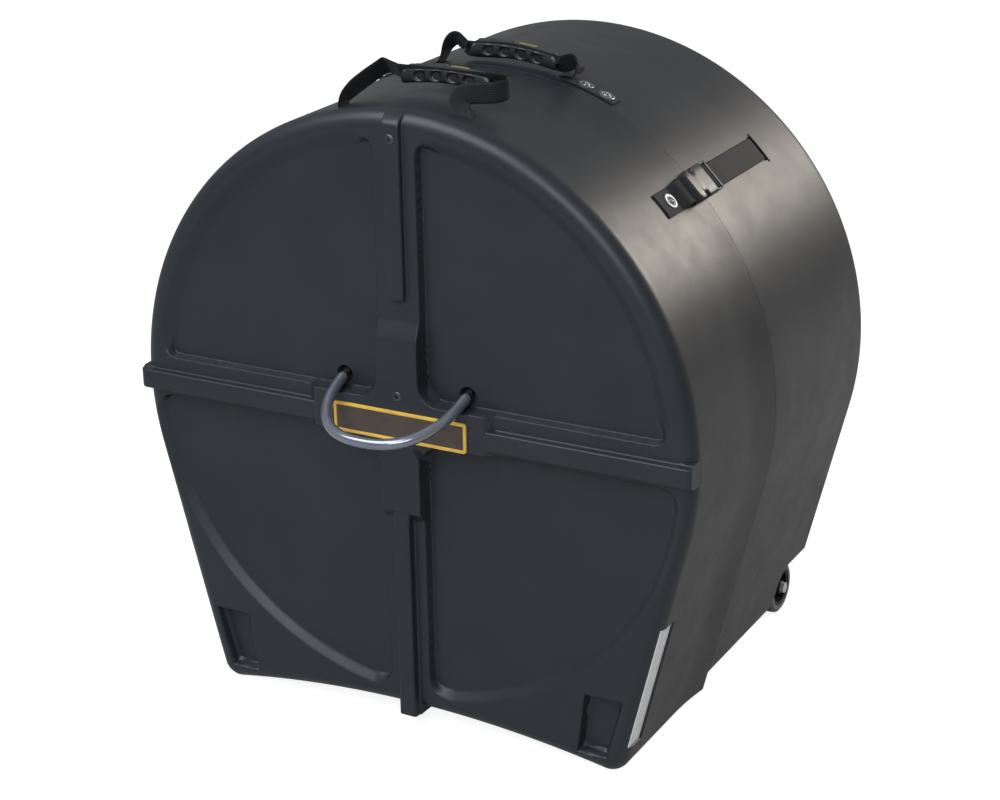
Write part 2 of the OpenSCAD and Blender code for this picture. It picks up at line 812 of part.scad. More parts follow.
// Bars inside the shell that the webbing's sewn ends hang from
module front_handle_anchors() {
    color("#3a3c3f")
        place()
            for (side = [-1, 1])
                translate([side * anchor_span / 2, front_anchor_back, anchor_bar_z])
                    box([-bar_half, -handle_web_w / 2 - 4, -2 * bar_half / 3],
                        [bar_half, handle_web_w / 2 + 4, -seat_gap / 3]);
}

module rear_handle_grip() {
    color("#26282b") at_rear_grip() grip();
}

module rear_grip_inlay() {
    color("#4a4d50") at_rear_grip() inlay();
}

module rear_handle_webbing() {
    color("#1c1d1f")
        place()
            upright(strip(rear_web_path, web_t), rear_handle_y - handle_web_w / 2,
                    rear_handle_y + handle_web_w / 2);
}

// A flat strip that follows the barrel, from one angle right of the top to another
module barrel_strip(r0, r1, from, to, y0, y1) {
    rotate([-90, 0, 0])
        rotate_extrude(angle = to - from, start = from - 90, $fn = 180)
            polygon([[r0, y0], [r1, y0], [r1, y1], [r0, y1]]);
}

module rear_handle_tabs() {
    r0 = rear_r + seat_gap / 2;
    color("#1c1d1f")
        place()
            difference() {
                union() {
                    barrel_strip(r0, r0 + web_t, right_tab_from, tab_to,
                                 rear_handle_y - handle_web_w / 2, rear_handle_y + handle_web_w / 2);
                    barrel_strip(r0, r0 + web_t, -tab_to, -left_tab_from,
                                 rear_handle_y - handle_web_w / 2, rear_handle_y + handle_web_w / 2);
                }
                rear_rivet_holes();
            }
}

module rear_rivet_holes() {
    for (a = rear_rivet_angles)
        rotate([0, a, 0])
            translate([0, rear_handle_y, 0])
                cylinder(r = rivet_d / 2 + fit, h = rear_r + 2 * wall, $fn = 32);
}

// A domed rivet on its washer. z = 0 is the face that the washer lies on.
module rivet(depth) {
    rotate_extrude($fn = 40)
        polygon([[0, -depth], [rivet_d / 2, -depth], [rivet_d / 2, 0], [washer_d / 2, 0],
                 [washer_d / 2, washer_t], [rivet_d, washer_t], [rivet_d * 0.8, washer_t + 1.4],
                 [rivet_d * 0.4, washer_t + 2], [0, washer_t + 2.1]]);
}

module rear_tab_rivets() {
    seat = rear_r + seat_gap / 2 + web_t + slight / 4;
    color("#d0d3d6")
        place()
            for (a = rear_rivet_angles)
                rotate([0, a, 0])
                    translate([0, rear_handle_y, seat])
                        rivet(seat - rear_r + wall - seat_gap);
}

// ---- Straps and buckles ---------------------------------------------------------------
// Everything here is drawn above the top of the barrel and then turned to its place
module strap_tab() {
    low = barrel_r + seat_gap / 2 + web_t / 2;
    difference() {
        sideways(strip([[socket_y - tab_length, low], [tab_rivet_y + washer_d / 2 + 2, low],
                        [socket_y - 2, tab_z], [socket_y + socket_wall, tab_z]], web_t),
                 -strap_w / 2, strap_w / 2);
        front_tab_hole();
    }
}

module strap_tab_right() {
    color("#1c1d1f") place() round_barrel(strap_angle) strap_tab();
}

module strap_tab_left() {
    color("#1c1d1f") place() round_barrel(180 - strap_angle) strap_tab();
}

module tab_rivets() {
    seat = barrel_r + seat_gap / 2 + web_t;
    color("#d0d3d6")
        place()
            for (a = [strap_angle, 180 - strap_angle])
                round_barrel(a)
                    translate([0, tab_rivet_y, seat]) {
                        rivet(seat - barrel_r + wall);
                        translate([0, 0, -seat + barrel_r - wall - washer_t - slight])
                            cylinder(r = rivet_d, h = washer_t, $fn = 40);
                        translate([0, 0, -seat + barrel_r - wall - washer_t])
                            cylinder(r = rivet_d / 2, h = washer_t + 1, $fn = 32);
                    }
}

// Hollow half of the side-release buckle, open towards the back
module buckle_socket() {
    half = socket_w / 2;
    base = buckle_low;
    top = buckle_low + buckle_h;
    waist = half - socket_waist;
    // Right side of the outline: chamfer, shoulder, pressing window's waist and tail
    right = [[half - socket_chamfer, 0], [half, socket_shoulder], [half, 2 * socket_shoulder],
             [waist, 3 * socket_shoulder], [waist, socket_window[1] + 1],
             [half, socket_window[1] + 1 + socket_shoulder], [half, socket_l]];
    difference() {
        translate([0, 0, base])
            linear_extrude(buckle_h)
                polygon([for (p = concat(right, reversed([for (q = right) [-q[0], q[1]]])))
                    [p[0], socket_y + p[1]]]);
        box([-half + side_wall, socket_y + 2 * socket_wall, base + skin_t],
            [half - side_wall, socket_y + socket_l + 1, top - skin_t]);
        box([-half - 1, socket_y + socket_window[0], base + skin_t],
            [half + 1, socket_y + socket_window[1], top - skin_t]);
        box([-strap_w / 2 - fit, socket_y - 1, tab_z - web_t / 2 - fit],
            [strap_w / 2 + fit, socket_y + socket_wall + fit, tab_z + web_t / 2 + fit]);
    }
}

module buckle_socket_right() {
    color("#17181a") place() round_barrel(strap_angle) buckle_socket();
}

module buckle_socket_left() {
    color("#17181a") place() round_barrel(180 - strap_angle) buckle_socket();
}

// Pronged half of the buckle, with a ladder that the strap is threaded through
module buckle_prong() {
    arm = socket_w / 2 - side_wall - prong_play;
    z0 = buckle_low + skin_t + prong_play;
    z1 = buckle_low + buckle_h - skin_t - prong_play;
    reach = socket_y + 2 * socket_wall + 3;
    for (side = [-1, 1])
        translate([side > 0 ? arm - prong_w : -arm, 0, 0])
            box([0, reach, z0], [prong_w, prong_y, z1]);
    box([-prong_w / 2, reach + 8, z0], [prong_w / 2, prong_y, z1]);
    slot = strap_w / 2 + slight;
    difference() {
        box([-socket_w / 2 + slight, prong_y, buckle_low], [socket_w / 2 - slight, prong_y + ladder_l, z1]);
        for (k = [0, 1])
            box([-slot, prong_y + ladder_bar + k * ladder_pitch, buckle_low - 1],
                [slot, prong_y + (k + 1) * ladder_pitch, z1 + 1]);
        box([-slot, prong_y + ladder_bar, buckle_low - 1],
            [slot, prong_y + ladder_l + 1, buckle_low + web_t + slight]);
    }
}

module buckle_prong_right() {
    color("#17181a") place() round_barrel(strap_angle) buckle_prong();
}

module buckle_prong_left() {
    color("#17181a") place() round_barrel(180 - strap_angle) buckle_prong();
}

// Strap from its loose end, over the ladder, along the shell and round its keeper bar
module strap() {
    run = buckle_low + web_t / 2;
    over = buckle_low + buckle_h - skin_t - prong_play + web_t / 2 + fit;
    up = prong_y + (ladder_bar + ladder_pitch) / 2;
    end = prong_y + ladder_l;
    back = slot_y - 2;
    round_bar = back + keeper_d + 2 * web_t;
    sideways(strip([[end + strap_tail, run + web_t + slight], [end + 5, run + web_t + slight],
                    [end + 1, over], [up, over], [up, run], [back, run],
                    [back, keeper_low], [round_bar, keeper_low], [round_bar, rear_r - wall - 2]], web_t),
             -strap_w / 2, strap_w / 2);
}

module strap_right() {
    color("#1c1d1f") place() round_barrel(strap_angle) strap();
}

module strap_left() {
    color("#1c1d1f") place() round_barrel(180 - strap_angle) strap();
}

module strap_slot() {
    box([-strap_w / 2 - 1.5, slot_y - 2 - web_t, rear_r - 2 * wall],
        [strap_w / 2 + 1.5, slot_y + 10, rear_r + wall]);
}

// Raised lip behind and beside each slot
module slot_lip() {
    box([-strap_w / 2 - 4, slot_y + 6, rear_r - wall / 2], [strap_w / 2 + 4, slot_y + 13, rear_r + 1.5]);
}

module strap_keeper_bars() {
    color("#3a3c3f")
        place()
            for (a = [strap_angle, 180 - strap_angle])
                round_barrel(a)
                    translate([0, slot_y - 2 + web_t / 2 + seat_gap, keeper_low + web_t / 2 + seat_gap])
                        box([-strap_w / 2 - 6, 0, 0],
                            [strap_w / 2 + 6, keeper_d + web_t - 2 * seat_gap,
                             rear_r - wall - 0.9 - keeper_low - web_t / 2 - seat_gap]);
}

// ---- Tow handle -----------------------------------------------------------------------
// Turns a loop drawn in the x-y plane, opening backwards from its pivot line
module at_tow_pivot() {
    place()
        translate([0, tow_pivot_y, tow_pivot_z])
            rotate([tow_droop, 0, 0])
                children();
}

module tow_loop(r, bore, start) {
    translate([0, -tow_leg, 0])
        rotate_extrude(angle = 180, start = 180, $fn = 64)
            translate([tow_radius, 0])
                difference() {
                    circle(r = r, $fn = 24);
                    if (bore > 0) circle(r = bore, $fn = 24);
                }
    for (side = [-1, 1])
        translate([side * tow_radius, 0, 0])
            difference() {
                bar_y(r, -tow_leg, -start, 24);
                if (bore > 0) bar_y(bore, -tow_leg - 1, 1, 24);
            }
}

module tow_rope() {
    color("#1b1c1e")
        at_tow_pivot() {
            tow_loop(tow_rope_d / 2, 0, 0);
            for (side = [-1, 1])
                translate([side * tow_radius, 0, 0]) sphere(r = tow_rope_d / 2, $fn = 24);
        }
}

module tow_sleeve() {
    color("#6d7278") at_tow_pivot() tow_loop(tow_sleeve_d / 2, tow_rope_d / 2 + fit, tow_mouth);
}

// Fixed ends of the rope: through the shell, with a washer and a knot inside
module tow_rope_knots() {
    inside = panel_depth + wall;
    r = tow_rope_d / 2;
    color("#1b1c1e")
        place()
            for (side = [-1, 1])
                translate([side * tow_radius, 0, tow_pivot_z]) {
                    bar_y(r, tow_pivot_y + r + seat_gap, inside + 4);
                    bar_y(r * 2.6, inside + fit, inside + 2);
                    bar_y(r * 1.9, inside + 2, inside + 12);
                }
}

// ---- Wheels ---------------------------------------------------------------------------
function arc(c, r, from, to, n) =
    [for (k = [0:n]) let (a = from + (to - from) * k / n) c + r * [cos(a), sin(a)]];

// Side view of a wheel's well, y and z, grown by the wall where it must stay solid
function well_profile(grow) =
    let (r = well_round, top = well_top + grow, far = case_depth + 2 * wall, foot = rear_floor - wall)
    concat(
        [[far, foot], [far, top]],
        arc([well_front + r, well_top - r], r + grow, 90, 195, 8),
        [[well_front - well_foot_lean - grow, foot]]
    );

module wheel_wells(grow) {
    for (side = [0, 1])
        mirror([side, 0, 0])
            sideways(well_profile(grow), well_inner - grow, barrel_r);
}

module axle_holes() {
    for (side = [-1, 1])
        translate([0, wheel_y, wheel_z])
            bar_x(axle_d / 2 + fit, side > 0 ? well_inner - wall - 1 : -well_inner - 1,
                  side > 0 ? well_inner + 1 : -well_inner + wall + 1);
}

module rear_shell() {
    color("#2b2e31")
        place()
            difference() {
                union() {
                    translate([0, case_depth, 0])
                        mirror([0, 1, 0]) {
                            rear_tub();
                            panel_backs();
                        }
                    intersection() {
                        wheel_wells(wall);
                        translate([0, case_depth, 0]) mirror([0, 1, 0]) rear_core();
                    }
                    round_barrel(strap_angle) slot_lip();
                    round_barrel(180 - strap_angle) slot_lip();
                }
                translate([0, case_depth, 0]) mirror([0, 1, 0]) four_panels();
                wheel_wells(0);
                axle_holes();
                rear_rivet_holes();
                round_barrel(strap_angle) strap_slot();
                round_barrel(180 - strap_angle) strap_slot();
            }
}

// Solid that lies between the rear half's outer and inner faces and everything inside them
module rear_core() {
    skin([
        [ring(rear_outline, wall / 2), wall / 2],
        [ring(rear_outline, wall / 2), case_depth - skirt_end - wall]
    ]);
}

module at_wheel(side) {
    place()
        mirror([side, 0, 0])
            translate([0, wheel_y, wheel_z])
                children();
}

module axle() {
    bar_x(axle_d / 2, well_inner - wall - axle_nut_t - 1, wheel_out + 3);
    bar_x(axle_collar_r, well_inner + fit, wheel_out - tyre_w - seat_gap);
}

module axle_right() {
    color("#9a9ea3") at_wheel(0) axle();
}

module axle_left() {
    color("#9a9ea3") at_wheel(1) axle();
}

module axle_nuts() {
    color("#8d9196")
        for (side = [0, 1])
            at_wheel(side)
                difference() {
                    bar_x(axle_nut_r, well_inner - wall - axle_nut_t, well_inner - wall - fit, 6);
                    bar_x(axle_d / 2 + fit, 0, wheel_out);
                }
}

module axle_caps() {
    color("#c4c7ca")
        for (side = [0, 1])
            at_wheel(side)
                difference() {
                    bar_x(axle_cap_r, wheel_out + seat_gap, wheel_out + axle_cap_t);
                    bar_x(axle_d / 2 + fit, 0, wheel_out + 3 + fit);
                }
}

module wheel_tyre() {
    translate([wheel_out - tyre_w / 2, 0, 0])
        rotate([0, 90, 0])
            rotate_extrude($fn = 72)
                polygon([[hub_r + fit, -tyre_w / 2], [wheel_d / 2 - tread_shoulder, -tyre_w / 2],
                         [wheel_d / 2 - 1, 2 - tyre_w / 2],
                         [wheel_d / 2, 6 - tyre_w / 2], [wheel_d / 2, tyre_w / 2 - 6],
                         [wheel_d / 2 - 1, tyre_w / 2 - 2], [wheel_d / 2 - tread_shoulder, tyre_w / 2],
                         [hub_r + fit, tyre_w / 2]]);
}

module wheel_hub() {
    mid = wheel_out - tyre_w / 2;
    half = tyre_w / 2 - 1;
    difference() {
        union() {
            bar_x(hub_r, mid - half, mid + half, 72);
            bar_x(axle_d, wheel_out - tyre_w, wheel_out, 48);
        }
        for (end = [mid - half - 1, mid + 3])
            difference() {
                bar_x(hub_r - 4, end, end + half - 2, 72);
                bar_x(axle_d, end - 1, end + half, 48);
            }
        translate([mid, 0, 0])
            rotate([0, 90, 0])
                for (k = [0:5])
                    rotate(k * 60)
                        linear_extrude(tyre_w, center = true)
                            polygon([[axle_d + 1, -2], [hub_r - 5, -5.5], [hub_r - 5, 5.5], [axle_d + 1, 2]]);
        bar_x(axle_d / 2 + fit / 2, 0, wheel_out + 1);
    }
}

module wheel_tyre_right() {
    color("#4b4d4f") at_wheel(0) wheel_tyre();
}

module wheel_tyre_left() {
    color("#4b4d4f") at_wheel(1) wheel_tyre();
}

module wheel_hub_right() {
    color("#18191b") at_wheel(0) wheel_hub();
}

module wheel_hub_left() {
    color("#18191b") at_wheel(1) wheel_hub();
}

front_shell();
badge_plate();
badge_field();
face_screws();
reflector_right();
reflector_left();
front_handle_grip();
front_handle_webbing();
front_grip_inlay();
front_handle_anchors();
strap_tab_right();
strap_tab_left();
tab_rivets();
buckle_socket_right();
buckle_socket_left();
tow_rope();
tow_sleeve();
tow_rope_knots();
rear_shell();
rear_handle_grip();
rear_handle_webbing();
rear_grip_inlay();
rear_handle_tabs();
rear_tab_rivets();
strap_right();
strap_left();
buckle_prong_right();
buckle_prong_left();
strap_keeper_bars();
axle_right();
axle_left();
axle_nuts();
axle_caps();
wheel_tyre_right();
wheel_hub_right();
wheel_tyre_left();
wheel_hub_left();
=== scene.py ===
import math

import bmesh
import bpy
import numpy as np
from mathutils import Matrix, Vector


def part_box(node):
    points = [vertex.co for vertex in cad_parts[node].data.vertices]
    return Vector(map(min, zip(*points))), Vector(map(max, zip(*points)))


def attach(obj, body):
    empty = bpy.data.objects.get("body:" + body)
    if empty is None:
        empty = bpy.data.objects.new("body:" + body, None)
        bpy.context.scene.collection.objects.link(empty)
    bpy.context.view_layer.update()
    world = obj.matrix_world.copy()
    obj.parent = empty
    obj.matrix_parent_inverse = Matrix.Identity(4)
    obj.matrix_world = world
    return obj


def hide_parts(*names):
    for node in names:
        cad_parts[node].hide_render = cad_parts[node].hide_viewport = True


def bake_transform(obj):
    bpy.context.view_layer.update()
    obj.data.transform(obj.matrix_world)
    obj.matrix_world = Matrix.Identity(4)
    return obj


bl_info = {
    "name": "Wheeled bass drum case",
    "version": (1, 0, 0),
    "blender": (4, 5, 0),
    "location": "View3D > Sidebar > Drum case",
    "description": "Moulded two-part case for a bass drum with straps, handles and wheels",
    "category": "Add Mesh",
}

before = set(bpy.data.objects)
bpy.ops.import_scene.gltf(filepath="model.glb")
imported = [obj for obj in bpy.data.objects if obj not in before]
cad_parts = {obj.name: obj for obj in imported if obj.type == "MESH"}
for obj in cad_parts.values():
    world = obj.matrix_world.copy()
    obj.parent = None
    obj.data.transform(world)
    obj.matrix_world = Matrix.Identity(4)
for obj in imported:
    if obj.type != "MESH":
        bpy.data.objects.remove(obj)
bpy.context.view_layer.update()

# The case frame: x to the right, depth behind the front face and height above the barrel's
# axis, all in millimetres. FACE and AXIS place it in the row frame.
FRONT = [np.array(c) * 1000 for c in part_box("front_shell")]
REAR = [np.array(c) * 1000 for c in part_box("rear_shell")]
BADGE = [np.array(c) * 1000 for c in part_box("badge_plate")]
BARREL_R = FRONT[1][0]
SKIRT_END = 350.0
FACE = FRONT[1][1] - SKIRT_END
AXIS = FRONT[1][2] - BARREL_R
CASE_DEPTH = REAR[1][1] - FACE
REAR_R = REAR[1][0]
SEAM = REAR[0][1] - FACE
REAR_FLOOR = REAR[0][2] - AXIS
LEAN = math.radians(14.2)
RIM = 18.0
WALL = 5.0
CORNER = 22.0
ARCH_TOP = 21.0 - AXIS
# Length of the swell in front of the seam, and how far the hub and the level bar stand out.
SWELL_RUN, HUB_RISE, BAR_RISE = 60.0, 9.0, 8.0
# Radius, floor, corner radius and height of the arch.
FRONT_OUTLINE = (BARREL_R, -AXIS, CORNER, ARCH_TOP)
REAR_OUTLINE = (REAR_R, REAR_FLOOR, CORNER + WALL + 1.2, None)
FACE_RINGS = (1.45, [9, 23, 36])
# The reflector's place down the leaning side, from where the barrel ends, and its back edge.
REFLECTOR_SPAN, REFLECTOR_DEPTH = (103.0, 254.0), 36.0
# Angle of the straps above the level, and depths of the tabs' rivets and the rear handle.
STRAP_TURN = 44.0
TURNS = (("right", STRAP_TURN), ("left", 180 - STRAP_TURN))
TAB_RIVET, REAR_HANDLE = 142.0, 220.0
# Half depth and half height of a carry grip, and its lean in degrees.
GRIP_DEEP, GRIP_HIGH = 7.4, 8.2
GRIP_LEAN = -10.0
BADGE_SHIFT = (2.5, 0, 3.5)


# ---- Numbers to meshes ------------------------------------------------------------------
def linear(code):
    """An sRGB hex colour as linear red, green, blue: each channel through the sRGB curve."""
    c = np.array([int(code[i : i + 2], 16) for i in (0, 2, 4)]) / 255
    return tuple(np.where(c <= 0.04045, c / 12.92, ((c + 0.055) / 1.055) ** 2.4))


# ---- Sizes and colours that a user would change ------------------------------------------
def length(name, text, millimetres):
    """A length property whose default is given in millimetres."""
    return bpy.props.FloatProperty(name=name, description=text, default=millimetres / 1000,
                                   min=0.0, subtype="DISTANCE", unit="LENGTH", precision=4)


def colour(name, text, code):
    """A colour property whose default is an sRGB hex value."""
    return bpy.props.FloatVectorProperty(name=name, description=text, default=linear(code),
                                         min=0.0, max=1.0, size=3, subtype="COLOR")


class DrumCaseSizes(bpy.types.PropertyGroup):
    """Sizes of the details that the frame leaves free."""

    panel_depth: length("Panel depth", "Depth of the sunk panels in both end faces", 9.5)
    pocket_depth: length("Foot pocket depth", "Depth of the pocket beside each front foot", 12.0)
    seam_swell: length("Seam swell", "How far the front half swells out to meet the rear", 5.0)
    strap_width: length("Strap width", "Width of the two closing straps", 30.0)
    handle_web_width: length("Handle webbing width", "Width of the carry handles' webbing", 22.0)
    web_thickness: length("Webbing thickness", "Thickness of all webbing", 1.8)
    sleeve_radius: length("Sleeve radius", "Radius of the tow handle's sleeve", 6.0)
    badge_border: length("Badge border", "Width of the badge's raised border", 3.1)


class DrumCaseColours(bpy.types.PropertyGroup):
    """Colours of the materials."""

    shell: colour("Shell", "Rotomoulded polyethylene of both halves", "262a2e")
    grip: colour("Grips", "Moulded polypropylene of the carry grips", "191b1d")
    pad: colour("Grip pads", "Soft elastomer strips on top of the grips", "2b2e32")
    webbing: colour("Webbing", "Woven nylon of the straps and handles", "17181a")
    sleeve: colour("Tow sleeve", "Vinyl tube of the tow handle", "868b94")
    rope: colour("Tow rope", "Braided polypropylene rope", "151617")
    amber: colour("Badge border", "Enamel of the badge's border", "f0c050")
    field: colour("Badge field", "Enamel of the badge's blank field", "4c4038")
    label: colour("Grip labels", "Blank polyester labels on the grips", "8d7c30")
    steel: colour("Steel", "Zinc plating of screws, rivets and axles", "8b8f94")
    buckle: colour("Buckles", "Moulded acetal of the buckles and anchors", "2a2c2e")
    reflector: colour("Reflectors", "Retroreflective sheeting", "f4f6f7")
    screw: colour("Face screws", "Black zinc plating of the face screws", "5a5d61")
    cap: colour("Axle caps", "Polished zinc of the axle caps", "dfe3e8")
    rubber: colour("Tyres", "Moulded rubber of the wheels", "7b7e80")
    hub: colour("Hubs", "Glass-filled nylon of the wheels' hubs", "1a1b1d")


def size(name):
    """A size of the scene's property group, in millimetres."""
    return getattr(bpy.context.scene.drum_case_sizes, name) * 1000


def shade(name, factor=1.0):
    """A colour of the scene's property group, times a factor, with alpha."""
    value = np.array(getattr(bpy.context.scene.drum_case_colours, name)) * factor
    return tuple(np.clip(value, 0, 1)) + (1.0,)


def to_frame(points):
    """Case frame in millimetres to row frame in metres: a shift and a scale."""
    return (np.asarray(points, float) + (0, FACE, AXIS)) / 1000


def ease(t):
    """Smooth step from 0 to 1: three times t squared less twice t cubed, t held in 0 to 1."""
    t = np.clip(t, 0, 1)
    return t * t * (3 - 2 * t)


def slope(t, soft=0.12):
    """Straight ramp from 0 to 1 with rounded ends: half the difference of two hyperbolas'
    heights, the square roots of t squared and of t less one squared, each plus soft squared."""
    return (np.sqrt(t * t + soft * soft) - np.sqrt((t - 1) ** 2 + soft * soft) + 1) / 2


def unit(v):
    """Vectors over their lengths."""
    return v / np.maximum(np.linalg.norm(v, axis=-1, keepdims=True), 1e-9)


def spline(points, count):
    """Smooth curve through points: Catmull-Rom cubics, sampled at even steps of length."""
    p = np.asarray(points, float)
    q = np.vstack([2 * p[0] - p[1], p, 2 * p[-1] - p[-2]])
    t = np.linspace(0, len(p) - 1, 24 * len(p))
    i = np.minimum(t.astype(int), len(p) - 2)
    u = (t - i)[:, None]
    a, b, c, d = q[i], q[i + 1], q[i + 2], q[i + 3]
    curve = 0.5 * (
        2 * b + (c - a) * u + (2 * a - 5 * b + 4 * c - d) * u**2 + (3 * b - a - 3 * c + d) * u**3
    )
    way = np.concatenate([[0], np.cumsum(np.linalg.norm(np.diff(curve[:, :3], axis=0), axis=1))])
    s = np.linspace(0, way[-1], count)
    return np.stack([np.interp(s, way, curve[:, k]) for k in range(curve.shape[1])], axis=1)


def lengths(points):
    """Length along rows of points from the first."""
    step = np.linalg.norm(np.diff(points, axis=0), axis=-1)
    return np.concatenate([[0], np.cumsum(step)])


def skin(grid, close_rows=False, close_cols=True, first=None, last=None, flip=False):
    """Quads over a grid of points, rows by columns, each from a point, the next in its row,
    and the two beside them. first and last are end points that close the grid as fans."""
    rows, cols = grid.shape[:2]
    r = np.arange(rows if close_rows else rows - 1)[:, None]
    c = np.arange(cols if close_cols else cols - 1)[None, :]
    r1, c1 = (r + 1) % rows, (c + 1) % cols
    quads = np.stack([r * cols + c, r * cols + c1, r1 * cols + c1, r1 * cols + c], -1)
    points = grid.reshape(-1, 3)
    along = np.concatenate([lengths(grid[:, 0]), [0]])
    around = lengths(np.concatenate([grid[rows // 2], grid[rows // 2, :1]]))
    one = np.ones_like(r * c)
    uv = np.stack([np.stack([along[i] * one, around[j] * one], -1)
                   for i, j in ((r, c), (r, c + 1), (r + 1, c + 1), (r + 1, c))], axis=2)
    uv = uv.reshape(-1, 4, 2)
    faces, ends = quads.reshape(-1, 4).tolist(), []
    fan = np.arange(c.size)
    for end, row, turn in ((first, 0, 1), (last, rows - 1, -1)):
        if end is None:
            continue
        points = np.vstack([points, np.reshape(end, (1, 3))])
        tip = np.full(len(fan), len(points) - 1)
        tris = np.stack([tip, row * cols + (fan + 1) % cols, row * cols + fan][::turn], -1)
        faces += tris.tolist()
        ends.append(np.zeros((len(fan) * 3, 2)) + (along[row], 0))
    if flip:
        faces, uv = [f[::-1] for f in faces], uv[:, ::-1]
    return points, faces, np.vstack([uv.reshape(-1, 2)] + ends) / 1000


def capped(grid, flip=True):
    """Skin of a grid whose first and last rows are closed as fans round their middles."""
    return skin(grid, first=grid[0].mean(0), last=grid[-1].mean(0), flip=flip)


def shown(name, data):
    """A new object in the scene."""
    piece = bpy.data.objects.new(name, data)
    bpy.context.scene.collection.objects.link(piece)
    return piece


def make(name, body, finish, solid, replaces=(), normals=None, smooth=40):
    """One piece from points, faces and corner map of skin(): it rides on a body given by name,
    or else stays put, and takes a finish, and stands for the CAD nodes named."""
    points, faces, corners = solid
    mesh = bpy.data.meshes.new(name)
    mesh.from_pydata(to_frame(points).tolist(), [], faces)
    layer = mesh.uv_layers.new(name="weave")
    layer.data.foreach_set("uv", corners.astype(np.float32).ravel())
    mesh.polygons.foreach_set("use_smooth", np.ones(len(faces), bool))
    mesh.update()
    if normals is not None:
        mesh.normals_split_custom_set_from_vertices(normals.tolist())
    else:
        mesh.set_sharp_from_angle(angle=math.radians(smooth))
    mesh.materials.append(finish_of(finish))
    piece = shown(name, mesh)
    if isinstance(body, str):
        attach(piece, body)
    else:
        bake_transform(piece)
    if replaces:
        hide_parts(*replaces)
    return piece


def join(*solids):
    """Several solids as one: their points, faces and corner maps one after another."""
    points, faces, corners, count = [], [], [], 0
    for p, f, c in solids:
        faces += [[i + count for i in face] for face in f]
        points.append(p)
        corners.append(c)
        count += len(p)
    return np.vstack(points), faces, np.vstack(corners)


def mirrored(solid):
    """The same solid on the other side: x changes sign and each face turns round."""
    points, faces, corners = solid
    ends = np.cumsum([len(f) for f in faces])
    order = np.concatenate([np.arange(e - 1, e - len(f) - 1, -1) for f, e in zip(faces, ends)])
    return points * (-1, 1, 1), [f[::-1] for f in faces], corners[order]


def both_sides(solid):
    """A solid on the right and its mirror image on the left."""
    return ("right", solid), ("left", mirrored(solid))


def turned(solid, angle):
    """A solid drawn above the barrel's top, turned to an angle above the level."""
    return placed(solid, about_y(90 - angle), 0)


def placed(solid, turn, shift):
    """A solid turned by a matrix and then moved."""
    points, faces, corners = solid
    return points @ np.array(turn).T + shift, faces, corners


def moved(solid, shift):
    """A solid moved without a turn."""
    return solid[0] + shift, solid[1], solid[2]


def about_x(degrees):
    """Matrix of a turn about x."""
    c, s = math.cos(math.radians(degrees)), math.sin(math.radians(degrees))
    return [[1, 0, 0], [0, c, -s], [0, s, c]]


def about_y(degrees):
    """Matrix of a turn about y."""
    c, s = math.cos(math.radians(degrees)), math.sin(math.radians(degrees))
    return [[c, 0, s], [0, 1, 0], [-s, 0, c]]


def tube(path, section, across):
    """A section carried along a path. across is the direction of the section's first
    number; its second is square to that and to the way ahead."""
    ahead = unit(np.gradient(path, axis=0))
    normal = unit(np.cross(ahead, across))
    side = unit(np.cross(normal, ahead))
    section = np.broadcast_to(section, (len(path),) + np.shape(section)[-2:])
    return capped(path[:, None] + section[..., :1] * side[:, None]
                  + section[..., 1:] * normal[:, None])


def round_section(width, height, power=2.0, count=32):
    """Closed superellipse of a width and a height: cosine and sine, with their signs, to
    two over the given power."""
    t = np.arange(count) * 2 * math.pi / count
    curve = np.stack([np.cos(t), np.sin(t)], -1)
    return np.sign(curve) * abs(curve) ** (2 / power) * (width / 2, height / 2)


def ribbon(path, width, across):
    """Webbing along a path, its long side along across: a long superellipse whose two edges
    are a little thicker."""
    x = np.concatenate([np.linspace(-1, 1, 15), np.linspace(1, -1, 15)[1:-1]])
    sign = np.concatenate([np.ones(15), -np.ones(13)])
    body = np.sqrt(np.clip(1 - np.abs(x) ** 12, 0, 1)) * (1 + 0.15 * ease((abs(x) - 0.75) / 0.15))
    half = np.array([size(width), size("web_thickness")]) / 2
    return tube(path, (np.stack([x, sign * body], -1) * half)[::-1], across)


